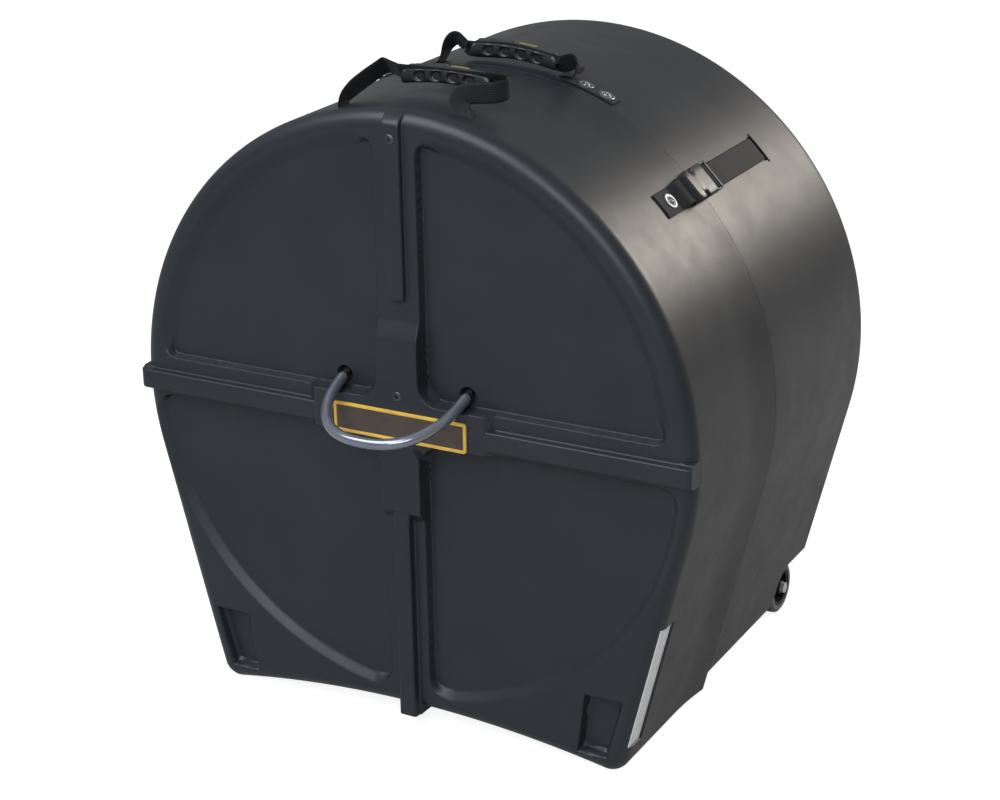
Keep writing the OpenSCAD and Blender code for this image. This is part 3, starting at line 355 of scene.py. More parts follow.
# ---- The case's outline and end faces ---------------------------------------------------
def half_outline(radius, floor, corner, arch, spacing, extra=()):
    """Right half of the case seen from the front, from the bottom's middle to the top:
    a hollow arch or a level run, a round corner, a leaning straight side and the barrel.
    Gives points and outward normals at even steps of length, and lengths of the joints."""
    cx = (radius - corner + (floor + corner) * math.sin(LEAN)) / math.cos(LEAN)
    cz = floor + corner
    if arch is None:
        tilt, span, run = 0.0, 1.0, cx
    else:
        rise = arch - floor
        span = (cx * cx + rise * rise) / (2 * rise)
        tilt = math.asin(cx / span)
        run = (span - corner) * tilt
    turn = math.pi / 2 + tilt - LEAN
    low = np.array([cx + corner * math.cos(LEAN), cz - corner * math.sin(LEAN)])
    high = radius * np.array([math.cos(LEAN), -math.sin(LEAN)])
    knots = np.cumsum(
        [0, run, corner * turn, np.linalg.norm(high - low), radius * (math.pi / 2 + LEAN)]
    )
    s = np.union1d(
        np.linspace(0, knots[-1], int(knots[-1] / spacing) + 1),
        np.concatenate([knots] + [np.atleast_1d(e) for e in extra]) if len(extra) else knots,
    )
    s = s[np.concatenate([[True], np.diff(s) > 0.05])]
    right = -math.pi / 2
    angle = np.interp(s, knots, [right, right - tilt, -LEAN, -LEAN, -right])
    normal = np.stack([np.cos(angle), np.sin(angle)], -1)
    bottom = (
        np.stack([s, np.full_like(s, floor)], -1)
        if arch is None
        else (0, arch - span + corner) - (span - corner) * normal
    )
    along = ((s - knots[2]) / (knots[3] - knots[2]))[:, None]
    places = np.select(
        [(s <= knots[1])[:, None], (s <= knots[2])[:, None], (s <= knots[3])[:, None]],
        [bottom, (cx, cz) + corner * normal, low + (high - low) * along],
        radius * normal,
    )
    return places, normal, s, knots


# Side (1 above the bar), ring radius, half widths of the upright and level bands, corner radius
# and the wall's run below the ring and beside the bands.
PANELS = ((1, 313.5, 25.0, 26.0, 24.0, 17.0, 2.2), (-1, 324.5, 24.0, 18.0, 29.0, 11.5, 2.4))
BACK_RUN = 5.0
TOW_HOLE, TOW_MOUTH = (75.0, 9.0, 39.0), 9.5
POCKET = [(206, -340), (238, -340), (256, -273), (214, -273)]


def panel_inside(x, z, panel, front):
    """Distance inside a panel and the run of its wall there. The distance is the least of
    those from the ring, the upright band and the level band, with the corners rounded. The
    back's walls beside the bands run on further, because they lean more."""
    side, ring, x0, z0, corner, ring_run, band_run = panel
    band_run = band_run + (0 if front else BACK_RUN)
    q = np.stack([np.hypot(x, z) - ring + corner, x0 + corner - abs(x), z0 + corner - side * z])
    inside = corner - np.linalg.norm(np.maximum(q, 0), axis=0) - np.minimum(q.max(0), 0)
    share = ease((q[0] - np.maximum(q[1], q[2])) / corner + 0.5)
    return inside, band_run + (ring_run - band_run) * share


def pocket_inside(x, z, corners):
    """How far a point lies inside a leaning foot pocket: least distance from its edges."""
    p = np.array(corners, float)
    q = np.roll(p, -1, axis=0)
    n = unit(np.stack([p[:, 1] - q[:, 1], q[:, 0] - p[:, 0]], -1))
    return np.min([(abs(x) - a[0]) * m[0] + (z - a[1]) * m[1] for a, m in zip(p, n)], axis=0)


def rim_depth(inset):
    """Depth of the rounded rim at a distance inside the outline: a quarter circle."""
    t = np.clip(RIM - inset, 0, RIM)
    return RIM - np.sqrt(RIM * RIM - t * t)


def pocket_wall(x, z):
    """Distance inside a foot pocket, from the upper edge of its wall, over the wall's run."""
    return (pocket_inside(x, z, POCKET) + 1.4) / 2.8


def face_depth(x, z, inset, front=True):
    """Depth of an end face: rim, plus the plateau of the hub, and in each panel a ramp from
    that down to the panel's floor; the front has a pocket beside each foot."""
    base = rim_depth(inset)
    if front:
        upright = slope((115 - z) / 21) * slope((z + 110) / 10) * (abs(x) < 45)
        level = slope((112 - abs(x)) / 9) * (abs(z) < 50)
        base = base - HUB_RISE * np.maximum(upright, level)
    depth = base
    for panel in PANELS:
        inside, run = panel_inside(x, z, panel, front)
        depth = depth + (size("panel_depth") - base) * slope(inside / run) * (panel[0] * z > 0)
    if front:
        depth = depth + size("pocket_depth") * slope(pocket_wall(x, z), 0.16)
        mouth = TOW_MOUTH - np.hypot(abs(x) - TOW_HOLE[0], z - TOW_HOLE[2])
        depth = depth + 8.0 * slope(mouth / 2.6)
    return depth


def snapped(xz, front, reach):
    """Moves the points that lie close to the upper or lower edge of a wall onto that edge,
    along the wall's fall, so that the edges run clean through the grid."""
    x, z = xz[..., 0], xz[..., 1]
    walls = [lambda x, z, p=panel: panel_inside(x, z, p, front) for panel in PANELS]
    h = 0.05
    for wall in walls:
        inside, run = wall(x, z)
        fall_x = (wall(x + h, z)[0] - wall(x - h, z)[0]) / (2 * h)
        fall_z = (wall(x, z + h)[0] - wall(x, z - h)[0]) / (2 * h)
        near = np.minimum(reach, np.asarray(run) / 2)
        move = np.where(abs(inside) < near, -inside, 0) + np.where(
            abs(run - inside) < near, run - inside, 0)
        x, z = x + move * fall_x, z + move * fall_z
    return np.stack([x, z], -1)


def face_normals(grid, flat):
    """Outward normals of the flat part of the front face: the depth's slopes to the right
    and upwards, from differences over a small step."""
    x, z, h = grid[:, :flat, 0], grid[:, :flat, 2], 0.7
    inset = np.full_like(x, RIM)
    right = face_depth(x + h, z, inset) - face_depth(x - h, z, inset)
    up = face_depth(x, z + h, inset) - face_depth(x, z - h, inset)
    return unit(np.stack([right, np.full_like(x, -2 * h), up], -1))


def rings(step, core):
    """Shares of the way from the middle of a face to the rim's inner edge: a few places in
    the core, then even steps."""
    reach = BARREL_R - RIM
    return np.append(np.append(core, np.arange(core[-1] + step, reach, step)) / reach, 1.0)


def station(outline, depth):
    """An outline's points at one depth."""
    return np.stack([outline[:, 0], np.full(len(outline), depth), outline[:, 1]], -1)


def end_grid(places, normal, shares, rim_steps, front, offset=0.0, snap=0.0):
    """Points of an end face and its rim: from near the middle outwards along straight lines
    to the rim's inner edge, then square to the outline through the rim. The last column is
    on the outline. offset moves the surface inwards for the shell's inner face, and snap is
    how close to a wall's edge a point is moved onto it."""
    rim = RIM - offset
    inner = places - normal * RIM
    flat = inner[:, None] * shares[None, :, None]
    if snap:
        flat[:, 1:-1] = snapped(flat[:, 1:-1], front, snap)
    angle = np.linspace(0, math.pi / 2, rim_steps + 1)[1:]
    bend = inner[:, None] + normal[:, None] * (rim * np.sin(angle))[None, :, None]
    xz = np.concatenate([flat, bend], axis=1)
    inset = np.concatenate([np.full(len(shares), RIM), RIM - RIM * np.sin(angle)])
    depth = face_depth(xz[..., 0], xz[..., 1], inset[None, :], front)
    if offset:
        depth = np.where(
            inset[None, :] < RIM,
            RIM - rim * np.sqrt(np.maximum(0, 1 - ((RIM - inset[None, :]) / RIM) ** 2)),
            depth + offset,
        )
    return np.stack([xz[..., 0], depth, xz[..., 1]], -1)


def grid_normals(grid):
    """Outward normals of a grid: the way along a row crossed with the way between rows."""
    a = np.gradient(grid, axis=1, edge_order=2)
    b = np.gradient(grid, axis=0, edge_order=2)
    n = unit(np.cross(a, b))
    n[0, :, 0] = n[-1, :, 0] = 0
    return unit(n)


def swell(depth):
    """How far the front half stands out near the seam: a steepening curve over its last
    run, the share of that length to the power of one and a half."""
    return size("seam_swell") * np.clip((depth - SEAM) / SWELL_RUN + 1, 0, 1) ** 1.5


def front_grid():
    """Right half of the front half's outside: end face, rim, then straight back to the
    seam, where it swells to meet the rear half, with the sunk place of the reflector."""
    knots = half_outline(*FRONT_OUTLINE, 1.7)[3]
    marks = [knots[3] - e + d for e in REFLECTOR_SPAN for d in (-0.9, -0.3, 0.3, 0.9)]
    dense = np.arange(knots[1] - 45, knots[1] + 50, 0.9)
    places, normal, s, knots = half_outline(*FRONT_OUTLINE, 1.7, [marks, dense])
    face = end_grid(places, normal, rings(*FACE_RINGS), 12, True, snap=0.8)
    upper = ease((normal[:, 1] + 0.75) / 0.4)
    sides = [station(places + normal * (upper * swell(d))[:, None], d)
             for d in (20, 24, 28, 32, 34.5, 35.4, 36.0, 36.6, 40, 60, 90, 120, 138, 146, 154,
                       162, 170, 178, 186, 193, SEAM - 0.2)]
    sides.append(station(places + normal * (upper * swell(SEAM) - 0.2)[:, None], SEAM))
    sides.append(station(places - normal * 2.5, SEAM))
    grid = np.concatenate([face, np.stack(sides, axis=1)], axis=1)
    up = knots[3] - s
    low, high = ((up - e) / 0.6 for e in REFLECTOR_SPAN)
    window = (ease(low + 0.5) * ease(0.5 - high))[:, None]
    window = window * ease((REFLECTOR_DEPTH - grid[..., 1]) / 0.6 + 0.5)
    plane = BARREL_R - (grid[..., 0] * math.cos(LEAN) - grid[..., 2] * math.sin(LEAN))
    push = np.maximum(0, 3.2 - plane) * window * (plane < 3.3)
    grid[..., 0] -= push * math.cos(LEAN)
    grid[..., 2] += push * math.sin(LEAN)
    return grid


def build_front():
    """Front half: face and sides as three parts on each side, the skirt with the inside,
    and the bar, ribs and screws that stand out of the face."""
    grid = front_grid()
    normals = grid_normals(grid)
    flat = len(rings(*FACE_RINGS)) - 1
    normals[:, :flat] = face_normals(grid, flat)
    level = int(np.argmin(abs(grid[:, -1, 2]) + 1000 * (grid[:, -1, 0] < 0)))
    foot = level // 2
    parts = (("upper", slice(level, None)), ("lower", slice(foot, level + 1)),
             ("foot", slice(0, foot + 1)))
    for part, rows in parts:
        piece = grid[rows].transpose(1, 0, 2)
        solid = skin(piece, close_cols=False, first=(0, piece[0, :, 1].mean(), 0), flip=True)
        n = np.vstack([normals[rows].transpose(1, 0, 2).reshape(-1, 3), [[0, -1, 0]]])
        for (side, shape), sign in zip(both_sides(solid), (1, -1)):
            make("front_%s_%s" % (part, side), "front_half", "shell", shape,
                 ["front_shell"], normals=n * (sign, 1, 1))
    for name, solid in (("front_skirt", front_inside()), ("level_bar", level_bar()),
                        ("upper_rib", upper_rib()), ("lower_rib", lower_rib())):
        make(name, "front_half", "shell", solid, ["front_shell"])
    make("face_screw_heads", "front_half", "screw", screw_heads(),
         ["face_screws"])


def fastener(radius, washer, rise, recess, neck):
    """Screw or rivet head about the height axis over polar rings: a dome, one less the square
    of the share of its radius, with a cross recess pressed in, on a washer whose rim is
    rounded and whose middle is dished, and a neck that goes into what it holds."""
    reach = max(radius, washer)
    share = np.concatenate([np.linspace(0.02, 0.62, 22), np.linspace(0.65, 0.97, 14), [1.0] * 3])
    angle = np.arange(64) * 2 * math.pi / 64
    r = (share * reach)[:, None]
    x, y = r * np.cos(angle), r * np.sin(angle)
    arm = slope((0.55 - np.minimum(abs(x), abs(y))) / 0.35) * slope((radius * 0.6 - r) / 0.5)
    height = rise * np.maximum(1 - (r / radius) ** 2, 0) ** 0.7 - recess * arm
    if washer > radius:
        dish = 0.5 * np.exp(-(((r - radius) / 0.9) ** 2))
        height = height + 1.3 - dish - 0.5 * ease((r - washer + 1.0) / 1.0)
    height[-2] -= 0.5
    height[-1] = -neck
    grid = np.stack([x, y, height], -1)
    return skin(grid, first=(0, 0, height[0].mean()), last=(0, 0, -neck), flip=True)


def screw_heads():
    """Both face screws: low heads turned to face forwards."""
    head = fastener(5.4, 0.0, 1.5, 1.5, 3.0)
    return join(*(placed(head, about_x(90), (0, front, height))
                  for height, front in ((307.0, -6.7), (32.0, -9.2))))


def full_loop(places, normal):
    """Whole outline from its right half and the mirror image."""
    p = np.vstack([places, places[-2:0:-1] * (-1, 1)])
    n = np.vstack([normal, normal[-2:0:-1] * (-1, 1)])
    return p, n


def front_inside():
    """Skirt and inner face of the front half: stations from the seam back over the skirt,
    round its end, forwards inside it and over the inside of the end face."""
    outer = full_loop(*half_outline(*FRONT_OUTLINE, 9.0)[:2])
    skirt = full_loop(
        *half_outline(BARREL_R - 0.8, REAR_FLOOR + WALL + 1.4, CORNER, None, 9.0)[:2]
    )
    total = min(len(outer[0]), len(skirt[0]))

    def resample(loop):
        t = np.linspace(0, len(loop[0]), total, endpoint=False)
        wrap = [np.vstack([a, a[:1]]) for a in loop]
        k = np.arange(len(wrap[0]))
        return [np.stack([np.interp(t, k, a[:, i]) for i in (0, 1)], -1) for a in wrap]

    (op, on), (sp, sn) = resample(outer), resample(skirt)
    stations = [
        (sp, SEAM - 1.0), (sp, 260), (sp, SKIRT_END - 1), (sp - sn * 1.0, SKIRT_END),
        (sp - sn * (WALL - 1), SKIRT_END), (sp - sn * WALL, SKIRT_END - 1),
        (sp - sn * WALL, SEAM - WALL), (op - on * WALL, SEAM - WALL), (op - on * WALL, RIM + 2),
    ]
    face = end_grid(op, on, np.linspace(0.04, 1, 30), 5, True, WALL)
    grid = np.concatenate([[station(p, d) for p, d in stations],
                           face.transpose(1, 0, 2)[::-1]])
    return skin(grid, last=(0, WALL - HUB_RISE, 0))


def ridge(half, proud, flare=2.2, lip=2.4, root=3.0):
    """Cross-section of a moulded ridge, one half and its mirror image: a hollow flare at
    the foot, a steep wall, a quarter-round edge and a flat top. Second number is height."""
    a = np.linspace(0, math.pi / 2, 6)
    foot = np.stack([half + flare * (1 - np.sin(a)), flare * (1 - np.cos(a)) * 0.9], -1)
    edge = np.stack(
        [half - 0.6 - lip + lip * np.cos(a), proud - lip + lip * np.sin(a)], -1
    )
    side = np.vstack([[[half + flare, -root]], foot, edge, [[half * 0.4, proud]]])
    return np.vstack([side, side[::-1] * (-1, 1)])


def bar_rise(x):
    """How far the level bar stands out along its length: level, then a short bevel at
    each end."""
    return BAR_RISE * (1 - 0.45 * ease((abs(x) - BARREL_R + 6) / 6) ** 1.5)


def level_bar():
    """The bar across the face: its section carried from side to side, its foot following
    the rim back at both ends."""
    tip = BARREL_R - 0.3
    fine = np.linspace(0, 1, 14) ** 0.7 * 24
    x = np.concatenate([tip - fine, np.arange(tip - 34, -tip + 30, -14.0), -tip + fine[::-1]])
    drop = rim_depth(BARREL_R - abs(x))
    wide, level = ridge(11.6, BAR_RISE).T[:, None]
    rise = (bar_rise(x) / BAR_RISE)[:, None]
    height = np.where(level > 0, level * rise, level - drop[:, None])
    return capped(np.stack(np.broadcast_arrays(x[:, None], -height, wide - 1.5), -1))


def upper_rib():
    """Rib above the hub: a rounded lower end, straight up, and laid back over the rim. Its
    outline is carried inwards ring by ring: foot, steep wall, rounded edge, flat top."""
    half, rise, corner, low, top = 10.5, 6.5, 4.5, 136.0, BARREL_R - 0.8
    a = np.linspace(0, math.pi / 2, 7)
    walls = np.concatenate([np.arange(low + corner + 8, 300, 12.0), np.linspace(304, top, 18)])
    rows = []
    for inset, height in ((-1.8, -3.0), (-1.8, 0.0), (-0.9, 0.15), (-0.2, 0.8), (0.0, 2.0),
                          (0.25, rise - 2.0), (0.8, rise - 0.8), (1.7, rise - 0.15),
                          (2.6, rise), (half - 0.01, rise)):
        r = max(corner - inset, 0.01)
        wide = half - inset
        bend_x = wide - r + r * np.sin(a)
        bend_z = low + inset + r - r * np.cos(a)
        x = np.concatenate([bend_x, np.full(len(walls), wide)])
        z = np.concatenate([bend_z, walls])
        x, z = np.concatenate([x, -x[::-1]]), np.concatenate([z, z[::-1]])
        fade = 1 - 0.75 * ease((z - 322) / (top - 322))
        rows.append(np.stack([x, rim_depth(BARREL_R - z) - height * fade, z], -1))
    return skin(np.stack(rows))


def lower_rib():
    """Rib below the hub: it starts on the hub's ramp and ends flat below the arch."""
    half, rise = 10.5, 10.0
    foot = ARCH_TOP - 5.0
    z = np.concatenate([np.linspace(-95, -110, 10), np.arange(-120, foot + 6, -12.0),
                        [foot + 4, foot + 1.5, foot + 0.4, foot]])
    height = 8 + 2 * ease((-97 - z) / 10)
    height = height - 1.6 * ease((foot + 2 - z) / 2) ** 2
    drop = rim_depth(np.maximum(z - ARCH_TOP, 0))
    wide, level = ridge(half, rise, 2.0, 2.6).T[:, None]
    depth = np.where(level > 0, -level * height[:, None] / rise, drop[:, None] - level)
    return capped(np.stack(np.broadcast_arrays(wide, depth, z[:, None]), -1))


def rear_solid():
    """Rear half as one closed skin: from the middle of the back face over its rim and
    forwards to the lip at the seam, which thins to meet the front half, and back inside."""
    places, normal = full_loop(*half_outline(*REAR_OUTLINE, 2.9)[:2])
    reach = CASE_DEPTH - SEAM
    outer = end_grid(places, normal, rings(2.2, [14, 30]), 9, False, snap=1.15)
    thin = REAR_R - BARREL_R - size("seam_swell") - 0.1
    lip = [(0, 22), (0, 60), (0, 110), (0, 170), (0, 220), (0, reach - 6)]
    lip += [(thin * ease(k / 5), reach - 6 + k * 1.16) for k in range(1, 6)]
    lip += [
        (thin + 0.15, reach - 0.05), (WALL - 1.0, reach), (WALL - 0.3, reach - 0.4),
        (WALL, reach - 1.2), (WALL, 200), (WALL, 100), (WALL, 21),
    ]
    side = np.stack([station(places - normal * t, d) for t, d in lip], axis=1)
    inner = end_grid(places, normal, np.linspace(0.05, 1, 30), 4, False, WALL)[:, ::-1]
    grid = np.concatenate([outer, side, inner], axis=1)
    grid[..., 1] = CASE_DEPTH - grid[..., 1]
    return skin(grid.transpose(1, 0, 2),
                first=(0, CASE_DEPTH, 0), last=(0, CASE_DEPTH - WALL, 0))


WELL_IN, WELL_TOP, WELL_FRONT = 224.0, -276.0, 386.0
WELL_ROUND = 24.0


def well_curve(steps=14):
    """Side view of a wheel's well from the back, forwards along its top, round its corner
    and down its leaning front, as depth and height."""
    a = np.radians(np.linspace(90, 195, steps))
    c = np.array([WELL_FRONT + WELL_ROUND, WELL_TOP - WELL_ROUND])
    bend = c + WELL_ROUND * np.stack([np.cos(a), np.sin(a)], -1)
    return np.vstack([[[CASE_DEPTH + 10, WELL_TOP]], bend,
                      [[WELL_FRONT - 14, REAR_FLOOR - 5]]])


def prism(outline, x0, x1):
    """Closed outline of depths and heights carried from one x to another."""
    grid = np.stack([np.column_stack([np.full(len(outline), x), outline]) for x in (x0, x1)])
    return capped(grid, flip=False)


def cutter(name, solid):
    """A closed solid that only cuts: it is removed once used."""
    mesh = bpy.data.meshes.new(name)
    mesh.from_pydata(to_frame(solid[0]).tolist(), [], solid[1])
    return shown(name, mesh)


def carve(piece, tools):
    """Cuts closed tools out of a closed piece, applies the cuts and drops the tools."""
    for tool in tools:
        cut = piece.modifiers.new("cut", "BOOLEAN")
        cut.operation, cut.solver, cut.object = "DIFFERENCE", "FAST", tool
    depsgraph = bpy.context.evaluated_depsgraph_get()
    mesh = bpy.data.meshes.new_from_object(piece.evaluated_get(depsgraph))
    piece.modifiers.clear()
    piece.data = mesh
    for tool in tools:
        bpy.data.objects.remove(tool)
    mesh.polygons.foreach_set("use_smooth", np.ones(len(mesh.polygons), bool))
    mesh.set_sharp_from_angle(angle=math.radians(38))


def split_off(piece, name, chosen):
    """Moves the chosen faces of the carved rear shell into a new piece beside it, so that
    no piece is too fine."""
    part = shown(name, piece.data.copy())
    part.data.name = name
    for owner, lost in ((piece, chosen), (part, ~chosen)):
        work = bmesh.new()
        work.from_mesh(owner.data)
        work.faces.ensure_lookup_table()
        bmesh.ops.delete(work, geom=[work.faces[i] for i in np.flatnonzero(lost)],
                         context="FACES")
        work.to_mesh(owner.data)
        work.free()
    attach(part, "rear_half")
    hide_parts("rear_shell")


def build_rear():
    """Rear half: its closed skin with the wheel wells and strap slots cut out, the wells'
    linings and the raised bars behind the slots."""
    shell = make("rear_half_shell", "rear_half", "shell", rear_solid(), ["rear_shell"])
    block = np.vstack([well_curve(), [[CASE_DEPTH + 10, REAR_FLOOR - 5]]])
    wells = both_sides(prism(block, WELL_IN, WELL_IN + 150))
    slot = prism([[361.0, 320], [374, 320], [374, 350], [361, 350]], -16.5, 16.5)
    carve(shell, [cutter("well", solid) for _, solid in wells]
          + [cutter("slot", turned(slot, angle)) for _, angle in TURNS])
    for name, side in (("rear_back_right", 1), ("rear_back_left", -1)):
        middles = np.empty(len(shell.data.polygons) * 3)
        shell.data.polygons.foreach_get("center", middles)
        middles = middles.reshape(-1, 3)
        behind = middles[:, 1] > to_frame([0, CASE_DEPTH - 21.5, 0])[1]
        split_off(shell, name, behind & (middles[:, 0] * side >= 0))
    for name, solid in both_sides(well_lining()):
        piece = make("wheel_well_" + name, "rear_half", "shell", solid, ["rear_shell"])
        thick = piece.modifiers.new("wall", "SOLIDIFY")
        thick.thickness, thick.offset = 0.003, -1
    for name, angle in TURNS:
        make("strap_slot_lip_" + name, "rear_half", "shell",
             turned(slot_lip(), angle), ["rear_shell"])


def side_reach(depth, height):
    """Half width of the rear half's outside at a height and depth: the outline's x there,
    less what the rounded rim takes off near the back."""
    places = half_outline(*REAR_OUTLINE, 2.0)[0]
    right = places[places[:, 0] > 200]
    x = np.interp(height, right[:, 1], right[:, 0])
    return x - rim_depth(CASE_DEPTH - depth) / math.cos(LEAN)


def well_lining():
    """Inside of a wheel's well: one sheet that runs in from the shell's side along the
    well's curve to its inner wall, and on over that wall to the lower back corner."""
    curve = well_curve(20)
    extra = np.stack([np.linspace(CASE_DEPTH - 0.3, WELL_FRONT + WELL_ROUND + 1, 12),
                      np.full(12, WELL_TOP)], -1)
    curve = np.vstack([extra, curve[1:-1], [[WELL_FRONT - 11, REAR_FLOOR + 0.2]]])
    out = side_reach(curve[:, 0], np.maximum(curve[:, 1], REAR_FLOOR + 0.2)) - 0.2
    t = np.linspace(0, 1, 5)
    inwards = out[:, None] + (WELL_IN - out[:, None]) * t
    shelf = np.stack(np.broadcast_arrays(inwards, curve[:, :1], curve[:, 1:]), -1)
    corner = np.array([CASE_DEPTH - 0.3, REAR_FLOOR + 0.2])
    t = np.linspace(0.0, 0.98, 8)[1:]
    wall = curve[:, None] + (corner - curve[:, None]) * t[None, :, None]
    wall = np.concatenate([np.full(wall.shape[:2] + (1,), WELL_IN), wall], -1)
    return skin(np.concatenate([shelf, wall], axis=1), close_cols=False, flip=True)


def slot_lip():
    """Flat bar moulded over the rear edge of a strap's slot, above the top of the barrel: a
    squared section carried straight across."""
    path = spline([(-19.5, 371.6, 0), (-8, 371.6, 0), (8, 371.6, 0), (19.5, 371.6, 0)], 60)
    path[:, 2] = np.sqrt(REAR_R**2 - path[:, 0] ** 2) + 0.3
    section = round_section(4.8, 2.2, 5.0, 20)
    return tube(path, section, (0, 1, 0))


# ---- Straps, buckles and webbing --------------------------------------------------------
def build_straps():
    """Strap tabs on the front half, straps through the buckles on the rear half."""
    low = BARREL_R + 1.05
    z = REAR_R + 0.3
    tab = spline([(0, 121.5, low), (0, 135, low), (0, 146, low + swell(146) + 0.1),
                  (0, 153, low + swell(153) + 0.5), (0, 161, z + 2.2), (0, 169, z + 4),
                  (0, 178, z + 4)], 60)
    run = z + 0.9
    strap = [(0, 250.5, run + 2.6), (0, 243, run + 2.3), (0, 236, run + 2.1), (0, 231, run + 2.0),
             (0, 228.4, run + 3.4), (0, 226.8, run + 5.5), (0, 224.9, run + 6.0),
             (0, 222.6, run + 4.9), (0, 222.1, run + 2.4), (0, 223.4, run + 0.5),
             (0, 227.5, run), (0, 235, run), (0, 280, run + 0.5), (0, 330, run + 0.4),
             (0, 357, run), (0, 361.5, run - 0.4), (0, 363.2, run - 3), (0, 363.2, run - 16)]
    strap = spline(strap, 150)
    for name, angle in TURNS:
        for piece, path, body in (("strap_tab_", tab, "front_half"),
                                  ("strap_", strap, "rear_half")):
            band = turned(ribbon(path, "strap_width", (1, 0, 0)), angle)
            make(piece + "webbing_" + name, body, "webbing", band, [piece + name])
    build_buckles()
    build_rivets()


def block(x, y, low, high, power=5.0):
    """A bar with rounded edges between two places along the strap: a superellipse section
    carried over its length, drawn in a little at both ends."""
    y = np.array(y, float)
    path = np.array([y[0], y[0] + 0.12, y[0] + 0.5, y[1] - 0.5, y[1] - 0.12, y[1]])
    share = np.array([0.82, 0.94, 1, 1, 0.94, 0.82])
    section = round_section(x[1] - x[0], high - low, power, 28)[::-1]
    grid = np.empty((6, 28, 3))
    grid[..., 0] = (x[0] + x[1]) / 2 + section[:, 0] * share[:, None]
    grid[..., 1] = path[:, None]
    grid[..., 2] = (low + high) / 2 + section[:, 1] * share[:, None]
    return capped(grid, flip=False)


def buckle_socket(low):
    """Socket of the side-release buckle: sections with rounded upper edges carried along
    the strap, chamfered in front, with a round thumb notch in each side."""
    notch = 191 + 5.0 * np.sin(np.linspace(-math.pi / 2, math.pi / 2, 19))
    y = np.concatenate([[174, 174.3, 175, 177, 179.5, 182, 185.8], notch,
                        [196.2, 201, 208, 214, 215.8, 216.6, 217]])
    half = 18 - 3.4 * ease((179.5 - y) / 5.5)
    half = half - 6.0 * np.sqrt(np.clip(1 - ((y - 191) / 5.0) ** 2, 0, 1))
    top = 10 - 0.9 * ease((175.6 - y) / 1.6) - 0.7 * ease((y - 215.6) / 1.4)
    side = np.array([[1, 0, 0], [1, 0, 1.8], [1, -0.5, 0.6], [1, -1.8, 0.0]])
    x = np.concatenate([side[:, :1] * half + side[:, 1:2], [half * 0.5, half * 0.0]])
    z = np.concatenate([[0 * y], top - side[1:, 2:] * np.ones_like(y), [top + 0.35, top + 0.5]])
    x = np.concatenate([x, -x[-2::-1]])
    z = np.concatenate([z, z[-2::-1]]) + low
    grid = np.stack([x.T, np.broadcast_to(y[:, None], x.T.shape), z.T], -1)
    return capped(grid, flip=False)


def buckle_prong(low):
    """Pronged half of the buckle: two arms that show in the notches, a tongue, and a ladder
    of side rails with three cross bars, the last of them above the strap."""
    solids = [block((s * 13.0 - 2.3, s * 13.0 + 2.3), (187.5, 218), low + 2.3, low + 7.2)
              for s in (-1, 1)]
    solids.append(block((-2, 2), (190, 218), low + 2.6, low + 7.0))
    solids += [block((s * 16.8 - 1.1, s * 16.8 + 1.1), (217.4, 232.6), low + 0.3, low + 7.6)
               for s in (-1, 1)]
    solids.append(block((-17.6, 17.6), (217.5, 220.6), low + 0.4, low + 7.6))
    solids.append(block((-16.5, 16.5), (223.7, 226.1), low + 2.1, low + 5.6))
    solids.append(block((-17.8, 17.8), (229.6, 232.4), low + 4.2, low + 8.0))
    return join(*solids)


def build_buckles():
    """Both side-release buckles, over the strap's line across the seam."""
    low = REAR_R + 0.3
    for name, angle in TURNS:
        for piece, body, solid in (("buckle_socket_", "front_half", buckle_socket(low)),
                                   ("buckle_prong_", "rear_half", buckle_prong(low))):
            make("moulded_" + piece + name, body, "buckle",
                 turned(solid, angle), [piece + name], smooth=50)


def build_rivets():
    """Rivets of the strap tabs on the front half and of the handle's tabs on the rear."""
    head = fastener(4.7, 9.2, 2.0, 1.0, 2.5)
    for name, body, node, radius, depth, angles in (
        ("strap_tab", "front_half", "tab_rivets", BARREL_R, TAB_RIVET, [t[1] for t in TURNS]),
        ("handle_tab", "rear_half", "rear_tab_rivets", REAR_R, REAR_HANDLE,
         (112.7, 108.3, 71.7, 67.3)),
    ):
        raised = moved(head, (0, depth, radius + 0.15 + size("web_thickness")))
        make(name + "_rivet_heads", body, "steel",
             join(*(turned(raised, angle) for angle in angles)), [node], smooth=50)


FRONT_WEB = [
    ((-76, 31, 322), (0, 1, 0)), ((-76, 31, 330), (0, 1, 0)), ((-75, 34, 336), (0, 0.9, -0.4)),
    ((-72, 44, 342), (0, 0.6, -0.8)), ((-67, 60, 349), (0, 0.5, -0.85)),
    ((-61, 78, 356), (0, 0.54, -0.84)), ((-59, 84, 358), (0, 0.54, -0.84)),
    ((-55, 86, 358.5), (0, 0.54, -0.84)), ((-47, 83, 357.5), (0, 0.54, -0.84)),
    ((-37, 79, 356.5), (0, 0.54, -0.84)), ((-31, 78, 356), (0, 0.54, -0.84)),
    ((21, 78, 356), (0, 0.54, -0.84)), ((73, 78, 356), (0, 0.54, -0.84)),
    ((80, 79, 355.5), (0, 0.54, -0.84)), ((89, 80, 354), (0, 0.4, -0.9)),
    ((93.5, 76, 352), (0, 0.2, -1)), ((92, 69, 350), (0, 0, -1)), ((84, 61, 348.5), (0, 0, -1)),
    ((72, 55, 348), (0, 0, -1)), ((62, 51, 347.5), (0.1, 0, -1)), ((56, 47.5, 346), (0.4, 0, -0.9)),
    ((54, 43.5, 342.5), (0.75, 0.1, -0.65)), ((56, 39, 337.5), (0.9, 0.2, -0.35)),
    ((60, 35, 331.5), (0.95, 0.3, -0.1)), ((65, 32, 325), (0.95, 0.3, 0)),
    ((68, 31, 318), (0.95, 0.3, 0)),
]


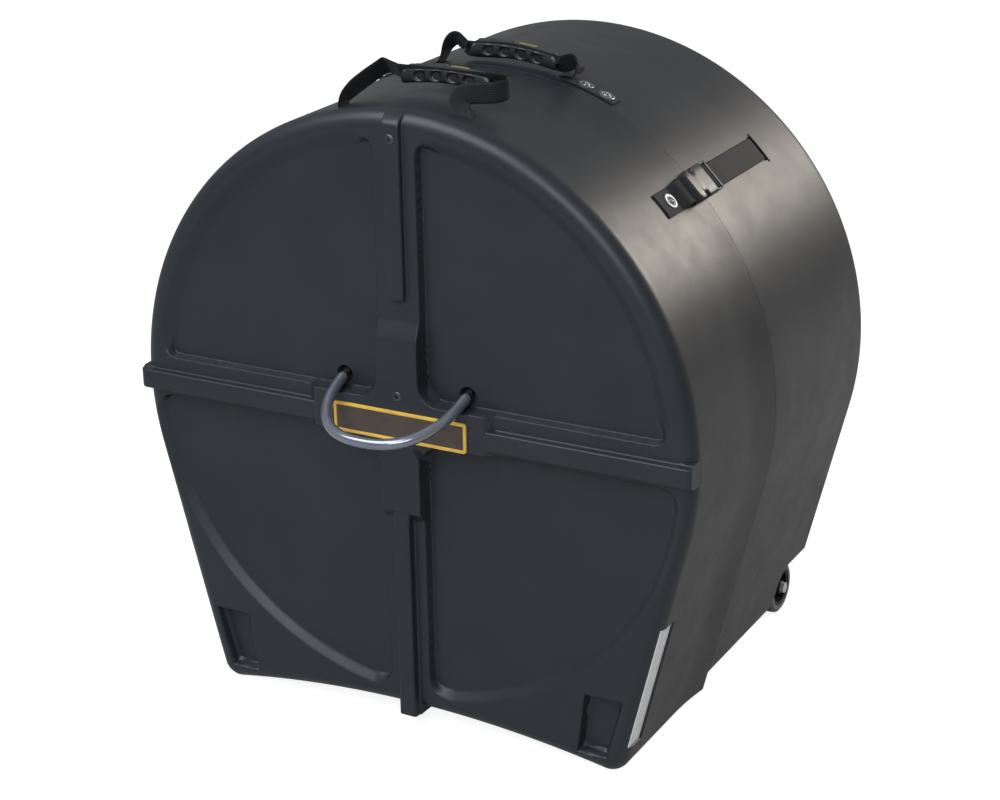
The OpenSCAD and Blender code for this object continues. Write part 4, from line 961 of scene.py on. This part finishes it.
def grip_solid():
    """Moulded grip along x, bent over the barrel: a superellipse section, w forwards and h
    upwards, with round ends, and four oval finger hollows pressed into its front side."""
    x = np.concatenate([-52 + 4 * (1 - np.cos(np.linspace(0.15, 1.57, 8))),
                        np.linspace(-47.4, 47.4, 136),
                        52 - 4 * (1 - np.cos(np.linspace(1.57, 0.15, 8)))])
    end = np.sqrt(np.clip(1 - ((abs(x) - 48) / 4.1).clip(0, 1) ** 2, 0, 1))
    scale = 0.72 + 0.28 * end
    t = np.arange(56) * 2 * math.pi / 56
    c, s = np.cos(t), np.sin(t)
    k = 2 / 2.7
    w = np.sign(c) * abs(c) ** k * GRIP_DEEP * scale[:, None]
    h = np.sign(s) * abs(s) ** k * GRIP_HIGH * scale[:, None]
    near = np.zeros_like(w)
    for finger in (-30.0, -10.5, 9.0, 28.5):
        oval = ((x[:, None] - finger) / 8.2) ** 2 + ((h + 1.2) / 6.4) ** 2
        near = np.maximum(near, ease(1.25 * (1 - oval)))
    w = w - 3.0 * near * (c < 0) * np.sign(c)
    ridge_line = 0.5 * np.exp(-((h - 4.6) / 0.5) ** 2) * (abs(x) < 46)[:, None]
    w = w + ridge_line * np.sign(c)
    grid = np.stack([np.broadcast_to(x[:, None], w.shape), w, h], -1)
    return capped(grid)


def bent(solid, radius=300.0):
    """Bends a solid along x over a cylinder: each point drops by x squared over twice the
    radius."""
    points, faces, corners = solid
    points = np.array(points, float)
    points[:, 2] -= points[:, 0] ** 2 / (2 * radius)
    return points, faces, corners


def strip_solid(length, width, low, high, round_end):
    """A long strip with rounded ends and a soft top edge, in even steps along x so that it
    can be bent: its half width narrows at both ends as a superellipse."""
    x = np.linspace(-1, 1, 61)
    x = np.sign(x) * (1 - (1 - abs(x)) ** 1.6) * length / 2
    near = np.clip((length / 2 - abs(x)) / round_end, 0, 1)
    half = np.maximum(width / 2 * np.sqrt(1 - (1 - near) ** 2), 0.3)
    rise = (high - low) * (0.35 + 0.65 * np.sqrt(1 - (1 - near) ** 2))
    side = np.array([-1, -1, -0.97, -0.85, -0.5, 0, 0.5, 0.85, 0.97, 1, 1])
    lift = np.array([0, 0.62, 0.86, 0.98, 1, 1, 1, 0.98, 0.86, 0.62, 0])
    grid = np.stack([np.broadcast_to(x[:, None], (61, 11)), half[:, None] * side,
                     low + rise[:, None] * lift], -1)
    return capped(grid)


def dress_grip(name, body, at, grip_node, pad_node):
    """One grip: its body, the long pad with a thicker part, and the blank label."""
    make(name + "_body", body, "grip",
         placed(bent(grip_solid()), *at), [grip_node])
    thin = strip_solid(98, 10.5, GRIP_HIGH - 1.0, GRIP_HIGH + 1.6, 7)
    thick = moved(strip_solid(45, 11.5, GRIP_HIGH - 0.6, GRIP_HIGH + 3.2, 3), (-23, 0, 0))
    make(name + "_pad", body, "pad", placed(bent(join(thin, thick)), *at), [pad_node])
    label = moved(strip_solid(21, 7.0, GRIP_HIGH + 1.3, GRIP_HIGH + 2.5, 1.2), (14, 0, 0))
    make(name + "_label", body, "label", placed(bent(label), *at))


def build_front_handle():
    """Front carry handle: grip, pad, blank label and the webbing that runs between the
    shell and the grip."""
    at = (about_x(GRIP_LEAN), (21, 78, 356.5))
    dress_grip("front_handle_grip", "front_handle", at, "front_handle_grip", "front_grip_inlay")
    path = spline([a + b for a, b in FRONT_WEB], 240)
    start, end = to_frame([0, 50, 330]), to_frame([0, 50, 352])
    make("front_handle_web", ("front_half", "front_handle", start, end), "webbing",
         ribbon(path[:, :3], "handle_web_width", path[:, 3:]),
         ["front_handle_webbing"])


def round_top(angle, out):
    """Point over the rear half's barrel at an angle right of the top and a height above."""
    a = math.radians(angle)
    return np.array([math.sin(a), math.cos(a)]) * (REAR_R + 1.05 + out)


def build_rear_handle():
    """Rear carry handle, its webbing and the two riveted tabs."""
    lean = math.radians(3.8)
    rise = REAR_R + 13.5
    grip_x, grip_z = rise * math.sin(lean), rise * math.cos(lean)
    at = (np.array(about_y(3.8)) @ about_x(GRIP_LEAN), (grip_x, REAR_HANDLE, grip_z))
    dress_grip("rear_handle_grip", "rear_handle", at, "rear_handle_grip", "rear_grip_inlay")

    def on_grip(s, out=0.0):
        drop = out - s * s / 600
        return (grip_x + s * math.cos(lean) + drop * math.sin(lean),
                grip_z - s * math.sin(lean) + drop * math.cos(lean))

    flat, low, up = (0, 1, 0), (0, 0.9, -0.44), (0, 0.45, -0.9)
    route = [
        (round_top(-12.5, 0), flat), (round_top(-11.6, 0.6), flat), (round_top(-10.6, 7), flat),
        (round_top(-9.6, 15), low), (round_top(-8.6, 20.5), (0, 0.7, -0.7)),
        (round_top(-7.4, 22.5), up), (on_grip(-62, 5), up), (on_grip(-54), up),
        (on_grip(0), up), (on_grip(53.5), up), (on_grip(59, 2), up),
        (round_top(15.2, 21), (0, 0.6, -0.8)), (round_top(16.2, 18), low),
        (round_top(16.4, 11), flat), (round_top(15.8, 6.5), flat), (round_top(14.6, 5), flat),
        (round_top(13.7, 3), flat), (round_top(13.9, 0.9), flat), (round_top(15.0, 0.2), flat),
    ]
    path = spline([(p[0], REAR_HANDLE, p[1]) + tuple(a) for p, a in route], 220)
    start, end = to_frame([0, REAR_HANDLE, 333]), to_frame([0, REAR_HANDLE, 352])
    make("rear_handle_web", ("rear_half", "rear_handle", start, end), "webbing",
         ribbon(path[:, :3], "handle_web_width", path[:, 3:]), ["rear_handle_webbing"])
    tabs = []
    for angles in ((-24.9, -12.4), (14.6, 24.9)):
        t = np.radians(np.linspace(*angles, 30))
        r = REAR_R + 1.05
        path = np.stack([r * np.sin(t), np.full(30, REAR_HANDLE), r * np.cos(t)], -1)
        tabs.append(ribbon(path, "handle_web_width", (0, 1, 0)))
    make("rear_handle_tab_web", "rear_half", "webbing", join(*tabs),
         ["rear_handle_tabs"])


# ---- Tow handle -------------------------------------------------------------------------
def tow_path(count=120):
    """Loop of the tow handle: half a superellipse about its two holes, drooping."""
    t = np.linspace(0, math.pi, count)
    c, s = np.cos(t), np.sin(t)
    k = 2 / 2.4
    x = np.sign(c) * abs(c) ** k * 75
    out = abs(s) ** k * 95
    path = np.stack([x, -out], -1)
    way = lengths(path)
    even = np.linspace(0, way[-1], count)
    x, y = np.interp(even, way, path[:, 0]), np.interp(even, way, path[:, 1])
    x, y = np.pad(x, 1, "edge"), np.pad(y, 1, constant_values=9.0)
    a = math.radians(-20)
    pivot = (9.0, 39.0)
    return np.stack([x, pivot[0] + y * math.cos(a), pivot[1] - y * math.sin(a)], -1)


def build_tow():
    """Tow handle: a glossy sleeve over a rope whose ends go into the shell."""
    path = tow_path()
    a = math.radians(20)
    up = (0, -math.sin(a), math.cos(a))
    way = lengths(path)
    sleeve = path[(way > 10) & (way < way[-1] - 10)]
    w = lengths(sleeve)
    near = np.minimum(w, w[-1] - w)
    radius = size("sleeve_radius") - 0.7 * (1 - ease(near / 0.9))
    section = round_section(2, 2, 2.0, 28)[None] * radius[:, None, None]
    make("tow_handle_sleeve", "tow_handle", "sleeve",
         tube(sleeve, section, up), ["tow_sleeve"])
    make("tow_handle_rope", "tow_handle", "rope",
         tube(path, round_section(8, 8, 2.0, 20), up), ["tow_rope"])


def build_badge():
    """Blank badge: an amber frame with round corners round a dark sunk field."""
    centre = (BADGE[0] + BADGE[1]) / 2 - (0, FACE, AXIS) + BADGE_SHIFT
    front = BADGE[0][1] - FACE
    long, tall, rim = 161.0, 33.5, size("badge_border")

    def ring_at(inset, depth):
        a = np.linspace(0, math.pi / 2, 9)
        quarter = np.concatenate([a + k * math.pi / 2 for k in range(4)])
        r = max(0.6, 3.6 - inset)
        x = np.repeat([1, -1, -1, 1], 9) * (long / 2 - inset - r) + np.cos(quarter) * r
        z = np.repeat([1, 1, -1, -1], 9) * (tall / 2 - inset - r) + np.sin(quarter) * r
        return np.stack([x, np.full(36, depth), z], -1) + (centre[0], 0, centre[2])

    frame_rings = [(0, front + 2.1), (0, front + 0.5), (0.15, front + 0.12), (0.5, front),
                   (rim, front), (rim + 0.3, front + 0.12), (rim + 0.5, front + 0.6),
                   (rim + 0.5, front + 2.1)]
    grid = np.stack([ring_at(*r) for r in frame_rings])
    make("badge_frame", "front_half", "amber",
         skin(grid, close_rows=True), ["badge_plate"])
    grid = np.stack([ring_at(rim + 0.4, front + 2.1), ring_at(rim + 0.4, front + 0.75)])
    make("badge_blank_field", "front_half", "field",
         skin(grid, first=(centre[0], front + 2.1, centre[2]),
              last=(centre[0], front + 0.75, centre[2])), ["badge_field"])


# ---- Finishes ---------------------------------------------------------------------------
def add(tree, kind, inputs=None, **settings):
    """One node: its settings, and its inputs as constants or as sockets to link from."""
    node = tree.nodes.new(kind)
    for key, value in settings.items():
        setattr(node, key, value)
    for key, value in (inputs or {}).items():
        if isinstance(value, bpy.types.NodeSocket):
            tree.links.new(value, node.inputs[key])
        else:
            node.inputs[key].default_value = value
    return node


# Surface patterns. Each takes the tree and gives a height from 0 to 1.
def bands(tree, period, direction, wobble):
    """Sine bands a period in millimetres apart over the lie of a piece's own map, in metres.
    The wave node has one turn in two pi over twenty times its scale."""
    way = add(tree, "ShaderNodeUVMap", uv_map="weave").outputs[0]
    return add(tree, "ShaderNodeTexWave",
               {"Vector": way, "Scale": 100 * math.pi / period, "Distortion": wobble,
                "Detail": 1.0}, bands_direction=direction).outputs["Fac"]


def woven(tree):
    """Rows of yarn 1.9 mm apart across and 2.4 mm apart along, one times the other. They
    are a little coarser than the real ones, so that they show."""
    rows, yarns = bands(tree, 1.9, "X", 0.3), bands(tree, 2.4, "Y", 0.3)
    return add(tree, "ShaderNodeMath", {0: rows, 1: yarns}, operation="MULTIPLY").outputs[0]


def braided(tree):
    """Strands that cross at a slant, 4 mm apart."""
    return bands(tree, 4.0, "DIAGONAL", 0.5)


def cells(tree):
    """Cells 3.2 mm across with a wall between them."""
    at = add(tree, "ShaderNodeTexCoord").outputs["Object"]
    return add(tree, "ShaderNodeTexVoronoi", {"Vector": at, "Scale": 1000 / 3.2},
               feature="DISTANCE_TO_EDGE").outputs["Distance"]


def laid(tree, pattern):
    """A pattern's value: one of the functions above, or noise with lumps of a size in
    millimetres, a number of finer layers and the share that each layer keeps."""
    if callable(pattern):
        return pattern(tree)
    lump, detail, keep = (pattern + (0.55,))[:3]
    at = add(tree, "ShaderNodeTexCoord").outputs["Object"]
    return add(tree, "ShaderNodeTexNoise",
               {"Vector": at, "Scale": 1000 / lump, "Detail": detail, "Roughness": keep}
               ).outputs["Fac"]


# For each finish: the real material's name, roughness, darkest and lightest share of its
# colour with the pattern that lays them out, bumps as pattern and depth in millimetres,
# patchy roughness as pattern, low and high, and the shader's other numbers.
FINISHES = {
    # A fine pebbled skin that scatters light softly, with slow waves where the wall shrank,
    # faint cloudy patches and light scuffs.
    "shell": ("rotomoulded_polyethylene", 0.4, (0.9, 1.12, (90, 4)),
              [((170, 1), 1.6), ((14, 2), 0.04), ((2.2, 2), 0.05)],
              ((35, 6, 0.62), 0.355, 0.44), {"Specular IOR Level": 0.42}),
    # Injection-moulded black polypropylene: even, half-matt and finely spark-eroded.
    "grip": ("moulded_polypropylene", 0.34, (0.85, 1.2, (20, 3)), [((1.6, 2), 0.04)], None, {}),
    # Soft elastomer: dull, slightly grey and dusty in its grain.
    "pad": ("thermoplastic_elastomer", 0.6, (0.8, 1.25, (8, 4)), [((1.8, 2), 0.08)], None, {}),
    # Woven black nylon: rows of yarn that catch a faint sheen; the colour is painted lighter on the
    # yarns and darker between them, a painted sheen and shade.
    "webbing": ("woven_nylon_webbing", 0.68, (0.7, 1.5, woven),
                [(woven, 0.3), ((1.5, 2), 0.1)], None,
                {"Sheen Weight": 0.06, "Sheen Roughness": 0.5, "Specular IOR Level": 0.35}),
    # Extruded grey vinyl over rope: smooth and wet-looking, with a pearly streak.
    "sleeve": ("extruded_vinyl_tube", 0.2, (0.8, 1.15, (40, 3)), [((25, 2), 0.12)], None,
               {"Metallic": 0.6, "Coat Weight": 1.0, "Coat Roughness": 0.05}),
    # Braided black polypropylene: strands that cross at a slant, with painted shade in the colour
    # where they shade each other.
    "rope": ("braided_polypropylene_rope", 0.7, (0.6, 1.6, braided), [(braided, 0.6)], None, {}),
    # Amber enamel on stamped aluminium: bright and even, with a thin gloss.
    "amber": ("amber_enamel", 0.3, (0.9, 1.1, (12, 4)), [((3, 3), 0.02)], None, {}),
    # Dark brown enamel in the badge's sunk field: glossy, with a fine orange peel.
    "field": ("brown_enamel", 0.32, (0.85, 1.15, (15, 4)), [((2.5, 2), 0.03)], None, {}),
    # Printed yellow polyester, left blank: half-matt film, rubbed thin in patches.
    "label": ("yellow_polyester_label", 0.45, (0.7, 1.15, (5, 4)), [((2.5, 2), 0.02)], None, {}),
    # Zinc plating: bright with a slight frost and faint patches from the bath.
    "steel": ("zinc_plated_steel", 0.3, (0.8, 1.15, (6, 4)), [((4, 2), 0.012)],
              ((3, 3), 0.34, 0.5), {"Metallic": 1.0}),
    # Black zinc plating: dark, with only a dull glint on the edges.
    "screw": ("black_zinc_steel", 0.42, (0.8, 1.2, (4, 3)), [], None, {"Metallic": 1.0}),
    # Polished zinc on the axles' push caps: pale, with its scratches lost in the gloss.
    "cap": ("polished_zinc", 0.3, (0.9, 1.05, (5, 3)), [], None, {"Metallic": 0.35}),
    # Injection-moulded black acetal: smooth and a little waxy, so that it takes a gloss.
    "buckle": ("moulded_acetal", 0.36, (0.85, 1.2, (14, 3)), [((6, 2), 0.02)], None, {}),
    # White retroreflective sheeting: pale film over small cells.
    "reflector": ("retroreflective_sheeting", 0.35, (0.9, 1.05, (9, 3)), [(cells, 0.1)], None,
                  {"Coat Weight": 0.4, "Coat Roughness": 0.15}),
    # Grey moulded rubber: matt, scuffed along its tread.
    "rubber": ("moulded_rubber", 0.7, (0.75, 1.25, (6, 5)), [((2, 3), 0.12)], None, {}),
    # Glass-filled black nylon: half-matt with a fine grain.
    "hub": ("glass_filled_nylon", 0.45, (0.8, 1.3, (5, 4)), [((1.4, 2), 0.05)], None, {}),
}
MADE = {}


def finish_of(key):
    """A finish's material, made once: colour laid between a darker and a lighter share,
    bumps one on another, and roughness that is even or patchy."""
    if key in MADE:
        return MADE[key]
    name, roughness, (low, high, clouds), bumps, scuffs, more = FINISHES[key]
    material = bpy.data.materials.new(name)
    material.use_nodes = True
    tree = material.node_tree
    tree.nodes.clear()
    ramp = add(tree, "ShaderNodeValToRGB", {"Fac": laid(tree, clouds)})
    for stop, place, share in zip(ramp.color_ramp.elements, (0.3, 0.7), (low, high)):
        stop.position, stop.color = place, shade(key, share)
    inputs = {"Base Color": ramp.outputs["Color"], "Roughness": roughness, **more}
    if scuffs:
        inputs["Roughness"] = add(
            tree, "ShaderNodeMapRange",
            {"Value": laid(tree, scuffs[0]), "From Min": 0.3, "From Max": 0.7,
             "To Min": scuffs[1], "To Max": scuffs[2]}).outputs[0]
    for pattern, depth in bumps:
        below = {"Normal": inputs["Normal"]} if "Normal" in inputs else {}
        inputs["Normal"] = add(tree, "ShaderNodeBump",
                               {"Height": laid(tree, pattern), "Distance": depth / 1000,
                                "Strength": 1.0, **below}).outputs[0]
    shader = add(tree, "ShaderNodeBsdfPrincipled", inputs)
    add(tree, "ShaderNodeOutputMaterial", {"Surface": shader.outputs[0]})
    MADE[key] = material
    return material


# The CAD nodes that stay as they are, under the finish that each group takes.
KEPT = {
    "reflector": ["reflector_right", "reflector_left"],
    "buckle": ["front_handle_anchors", "strap_keeper_bars"],
    "rope": ["tow_rope_knots"],
    "steel": ["axle_right", "axle_left", "axle_nuts"],
    "cap": ["axle_caps"],
    "rubber": ["wheel_tyre_right", "wheel_tyre_left"],
    "hub": ["wheel_hub_right", "wheel_hub_left"],
}


def dress_frame():
    """Gives the CAD nodes that stay their finishes."""
    for key, nodes in KEPT.items():
        for node in nodes:
            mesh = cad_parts[node].data
            mesh.materials.clear()
            mesh.materials.append(finish_of(key))


# ---- Stage ------------------------------------------------------------------------------
SKY_DIM, GLOSS_SKY = 0.22, 0.1
FLOOR_LIFT, GLOSS_FLOOR = 0.88, 0.12
LAMPS = [
    ("back_right_softbox", (1.75, 2.7, 1.85), (0.25, 0.1, 0.5), (1.0, 1.2), 58, "fff4e8"),
    ("top_softbox", (-0.9, -1.6, 2.7), (0, -0.3, 0.3), (2.2, 1.6), 60, "eef4ff"),
    ("front_softbox", (0.9, -3.0, 2.3), (0, 0, 0.5), (1.8, 1.2), 45, "eef4ff"),
]


def seen_share(tree, camera_share, glossy_share):
    """How much of the white shows: one share for the camera and clear surfaces, a smaller
    one for glossy surfaces, none for the light that falls on things."""
    rays = add(tree, "ShaderNodeLightPath").outputs
    shares = []
    for operation, inputs in (
        ("MAXIMUM", {0: rays["Is Camera Ray"], 1: rays["Is Transmission Ray"]}),
        ("MULTIPLY", {0: rays["Is Glossy Ray"], 1: glossy_share}),
    ):
        shares.append(add(tree, "ShaderNodeMath", inputs, operation=operation).outputs[0])
    clear = add(tree, "ShaderNodeMath", {0: shares[0], 1: camera_share}, operation="MULTIPLY")
    return add(tree, "ShaderNodeMath", {0: clear.outputs[0], 1: shares[1]},
               operation="MAXIMUM").outputs[0]


def stage_floor():
    """Pale floor: grey-white paint that keeps the shadow, lifted to white where the camera
    and glossy or clear surfaces see it."""
    mesh = bpy.data.meshes.new("floor")
    mesh.from_pydata([(-8, -8, 0), (8, -8, 0), (8, 12, 0), (-8, 12, 0)], [], [(0, 1, 2, 3)])
    floor = shown("floor", mesh)
    material = bpy.data.materials.new("pale_floor_paint")
    material.use_nodes = True
    tree = material.node_tree
    tree.nodes.clear()
    paint = add(tree, "ShaderNodeBsdfDiffuse", {"Color": linear("b4b4b4") + (1,)})
    glow = add(tree, "ShaderNodeEmission",
               {"Color": (1, 1, 1, 1), "Strength": seen_share(tree, FLOOR_LIFT, GLOSS_FLOOR)})
    sum_of = add(tree, "ShaderNodeAddShader", {0: paint.outputs[0], 1: glow.outputs[0]})
    add(tree, "ShaderNodeOutputMaterial", {"Surface": sum_of.outputs[0]})
    mesh.materials.append(material)


def lamp(name, place, aim, size, power, colour="ffffff"):
    """A rectangular soft light at a place, turned to face a point."""
    light = bpy.data.lights.new(name, "AREA")
    light.shape, light.size, light.size_y = "RECTANGLE", size[0], size[1]
    light.energy = power
    light.color = linear(colour)
    lamp_object = shown(name, light)
    lamp_object.location = place
    way = Vector(aim) - Vector(place)
    lamp_object.rotation_euler = way.to_track_quat("-Z", "Y").to_euler()


def sky():
    """Even studio surroundings: dim for the object's light, white where they are seen."""
    world = bpy.data.worlds.new("studio")
    bpy.context.scene.world = world
    world.use_nodes = True
    tree = world.node_tree
    tree.nodes.clear()
    dim = add(tree, "ShaderNodeBackground", {"Color": (1, 1, 1, 1), "Strength": SKY_DIM})
    white = add(tree, "ShaderNodeBackground", {"Color": (1, 1, 1, 1), "Strength": 1.0})
    mix = add(tree, "ShaderNodeMixShader",
              {0: seen_share(tree, 1.0, GLOSS_SKY), 1: dim.outputs[0], 2: white.outputs[0]})
    add(tree, "ShaderNodeOutputWorld", {"Surface": mix.outputs[0]})


def camera():
    """Camera to the right of the front and a little above, with a long lens."""
    data = bpy.data.cameras.new("camera")
    data.lens, data.sensor_width, data.clip_end = 81.68, 36.0, 60.0
    eye = shown("camera", data)
    place, aim, roll = Vector((1.1649, -2.0920, 1.2368)), Vector((0.0039, 0.0106, 0.3155)), -0.018
    back = (place - aim).normalized()
    right = Vector((0, 0, 1)).cross(back).normalized()
    up = back.cross(right)
    r2 = math.cos(roll) * right + math.sin(roll) * up
    u2 = -math.sin(roll) * right + math.cos(roll) * up
    turn = Matrix((r2, u2, back)).transposed().to_4x4()
    eye.matrix_world = Matrix.Translation(place) @ turn
    bpy.context.scene.camera = eye


def build_stage():
    """Camera, surroundings, floor and three soft lights."""
    camera()
    sky()
    stage_floor()
    for light in LAMPS:
        lamp(*light)
    bpy.context.scene.view_settings.view_transform = "Standard"


# ---- Add-on -----------------------------------------------------------------------------
class DRUMCASE_OT_stage(bpy.types.Operator):
    """Camera, lights, surroundings and floor."""

    bl_idname = "drumcase.stage"
    bl_label = "Stage"

    def execute(self, context):
        build_stage()
        return {"FINISHED"}


class DRUMCASE_OT_front_half(bpy.types.Operator):
    """Face, sides, skirt, bar, ribs and screws of the front half."""

    bl_idname = "drumcase.front_half"
    bl_label = "Front half"

    def execute(self, context):
        build_front()
        return {"FINISHED"}


class DRUMCASE_OT_rear_half(bpy.types.Operator):
    """Shell, wheel wells and strap slots of the rear half."""

    bl_idname = "drumcase.rear_half"
    bl_label = "Rear half"

    def execute(self, context):
        build_rear()
        return {"FINISHED"}


class DRUMCASE_OT_badge(bpy.types.Operator):
    """Blank badge on the hub: its border and its field."""

    bl_idname = "drumcase.badge"
    bl_label = "Badge"

    def execute(self, context):
        build_badge()
        return {"FINISHED"}


class DRUMCASE_OT_straps(bpy.types.Operator):
    """Strap tabs on the front half and straps on the rear half."""

    bl_idname = "drumcase.straps"
    bl_label = "Straps"

    def execute(self, context):
        build_straps()
        return {"FINISHED"}


class DRUMCASE_OT_front_handle(bpy.types.Operator):
    """Front carry handle: grip, pad, label and webbing."""

    bl_idname = "drumcase.front_handle"
    bl_label = "Front handle"

    def execute(self, context):
        build_front_handle()
        return {"FINISHED"}


class DRUMCASE_OT_rear_handle(bpy.types.Operator):
    """Rear carry handle: grip, pad, label, webbing and tabs."""

    bl_idname = "drumcase.rear_handle"
    bl_label = "Rear handle"

    def execute(self, context):
        build_rear_handle()
        return {"FINISHED"}


class DRUMCASE_OT_tow_handle(bpy.types.Operator):
    """Tow handle's sleeve and rope."""

    bl_idname = "drumcase.tow_handle"
    bl_label = "Tow handle"

    def execute(self, context):
        build_tow()
        return {"FINISHED"}


class DRUMCASE_OT_fixed_parts(bpy.types.Operator):
    """Finishes of the parts that the frame already has."""

    bl_idname = "drumcase.fixed_parts"
    bl_label = "Fixed parts"

    def execute(self, context):
        dress_frame()
        return {"FINISHED"}


OPERATORS = [
    DRUMCASE_OT_stage,
    DRUMCASE_OT_front_half,
    DRUMCASE_OT_rear_half,
    DRUMCASE_OT_badge,
    DRUMCASE_OT_straps,
    DRUMCASE_OT_front_handle,
    DRUMCASE_OT_rear_handle,
    DRUMCASE_OT_tow_handle,
    DRUMCASE_OT_fixed_parts,
]


class DRUMCASE_PT_panel(bpy.types.Panel):
    """Lists the pieces in the sidebar."""

    bl_label = "Drum case"
    bl_idname = "DRUMCASE_PT_panel"
    bl_space_type = "VIEW_3D"
    bl_region_type = "UI"
    bl_category = "Drum case"

    def draw(self, context):
        """One button for each operator, then the sizes and the colours."""
        for kind in OPERATORS:
            self.layout.operator(kind.bl_idname)
        for group in (context.scene.drum_case_sizes, context.scene.drum_case_colours):
            box = self.layout.box()
            for key in group.__annotations__:
                box.prop(group, key)


CLASSES = [DrumCaseSizes, DrumCaseColours] + OPERATORS + [DRUMCASE_PT_panel]


def register():
    for kind in CLASSES:
        bpy.utils.register_class(kind)
    bpy.types.Scene.drum_case_sizes = bpy.props.PointerProperty(type=DrumCaseSizes)
    bpy.types.Scene.drum_case_colours = bpy.props.PointerProperty(type=DrumCaseColours)


def unregister():
    del bpy.types.Scene.drum_case_colours, bpy.types.Scene.drum_case_sizes
    for kind in reversed(CLASSES):
        bpy.utils.unregister_class(kind)


def main():
    register()
    for kind in OPERATORS:
        getattr(bpy.ops.drumcase, kind.bl_idname.split(".")[1])()
    bpy.context.view_layer.update()


if __name__ == "__main__":
    main()
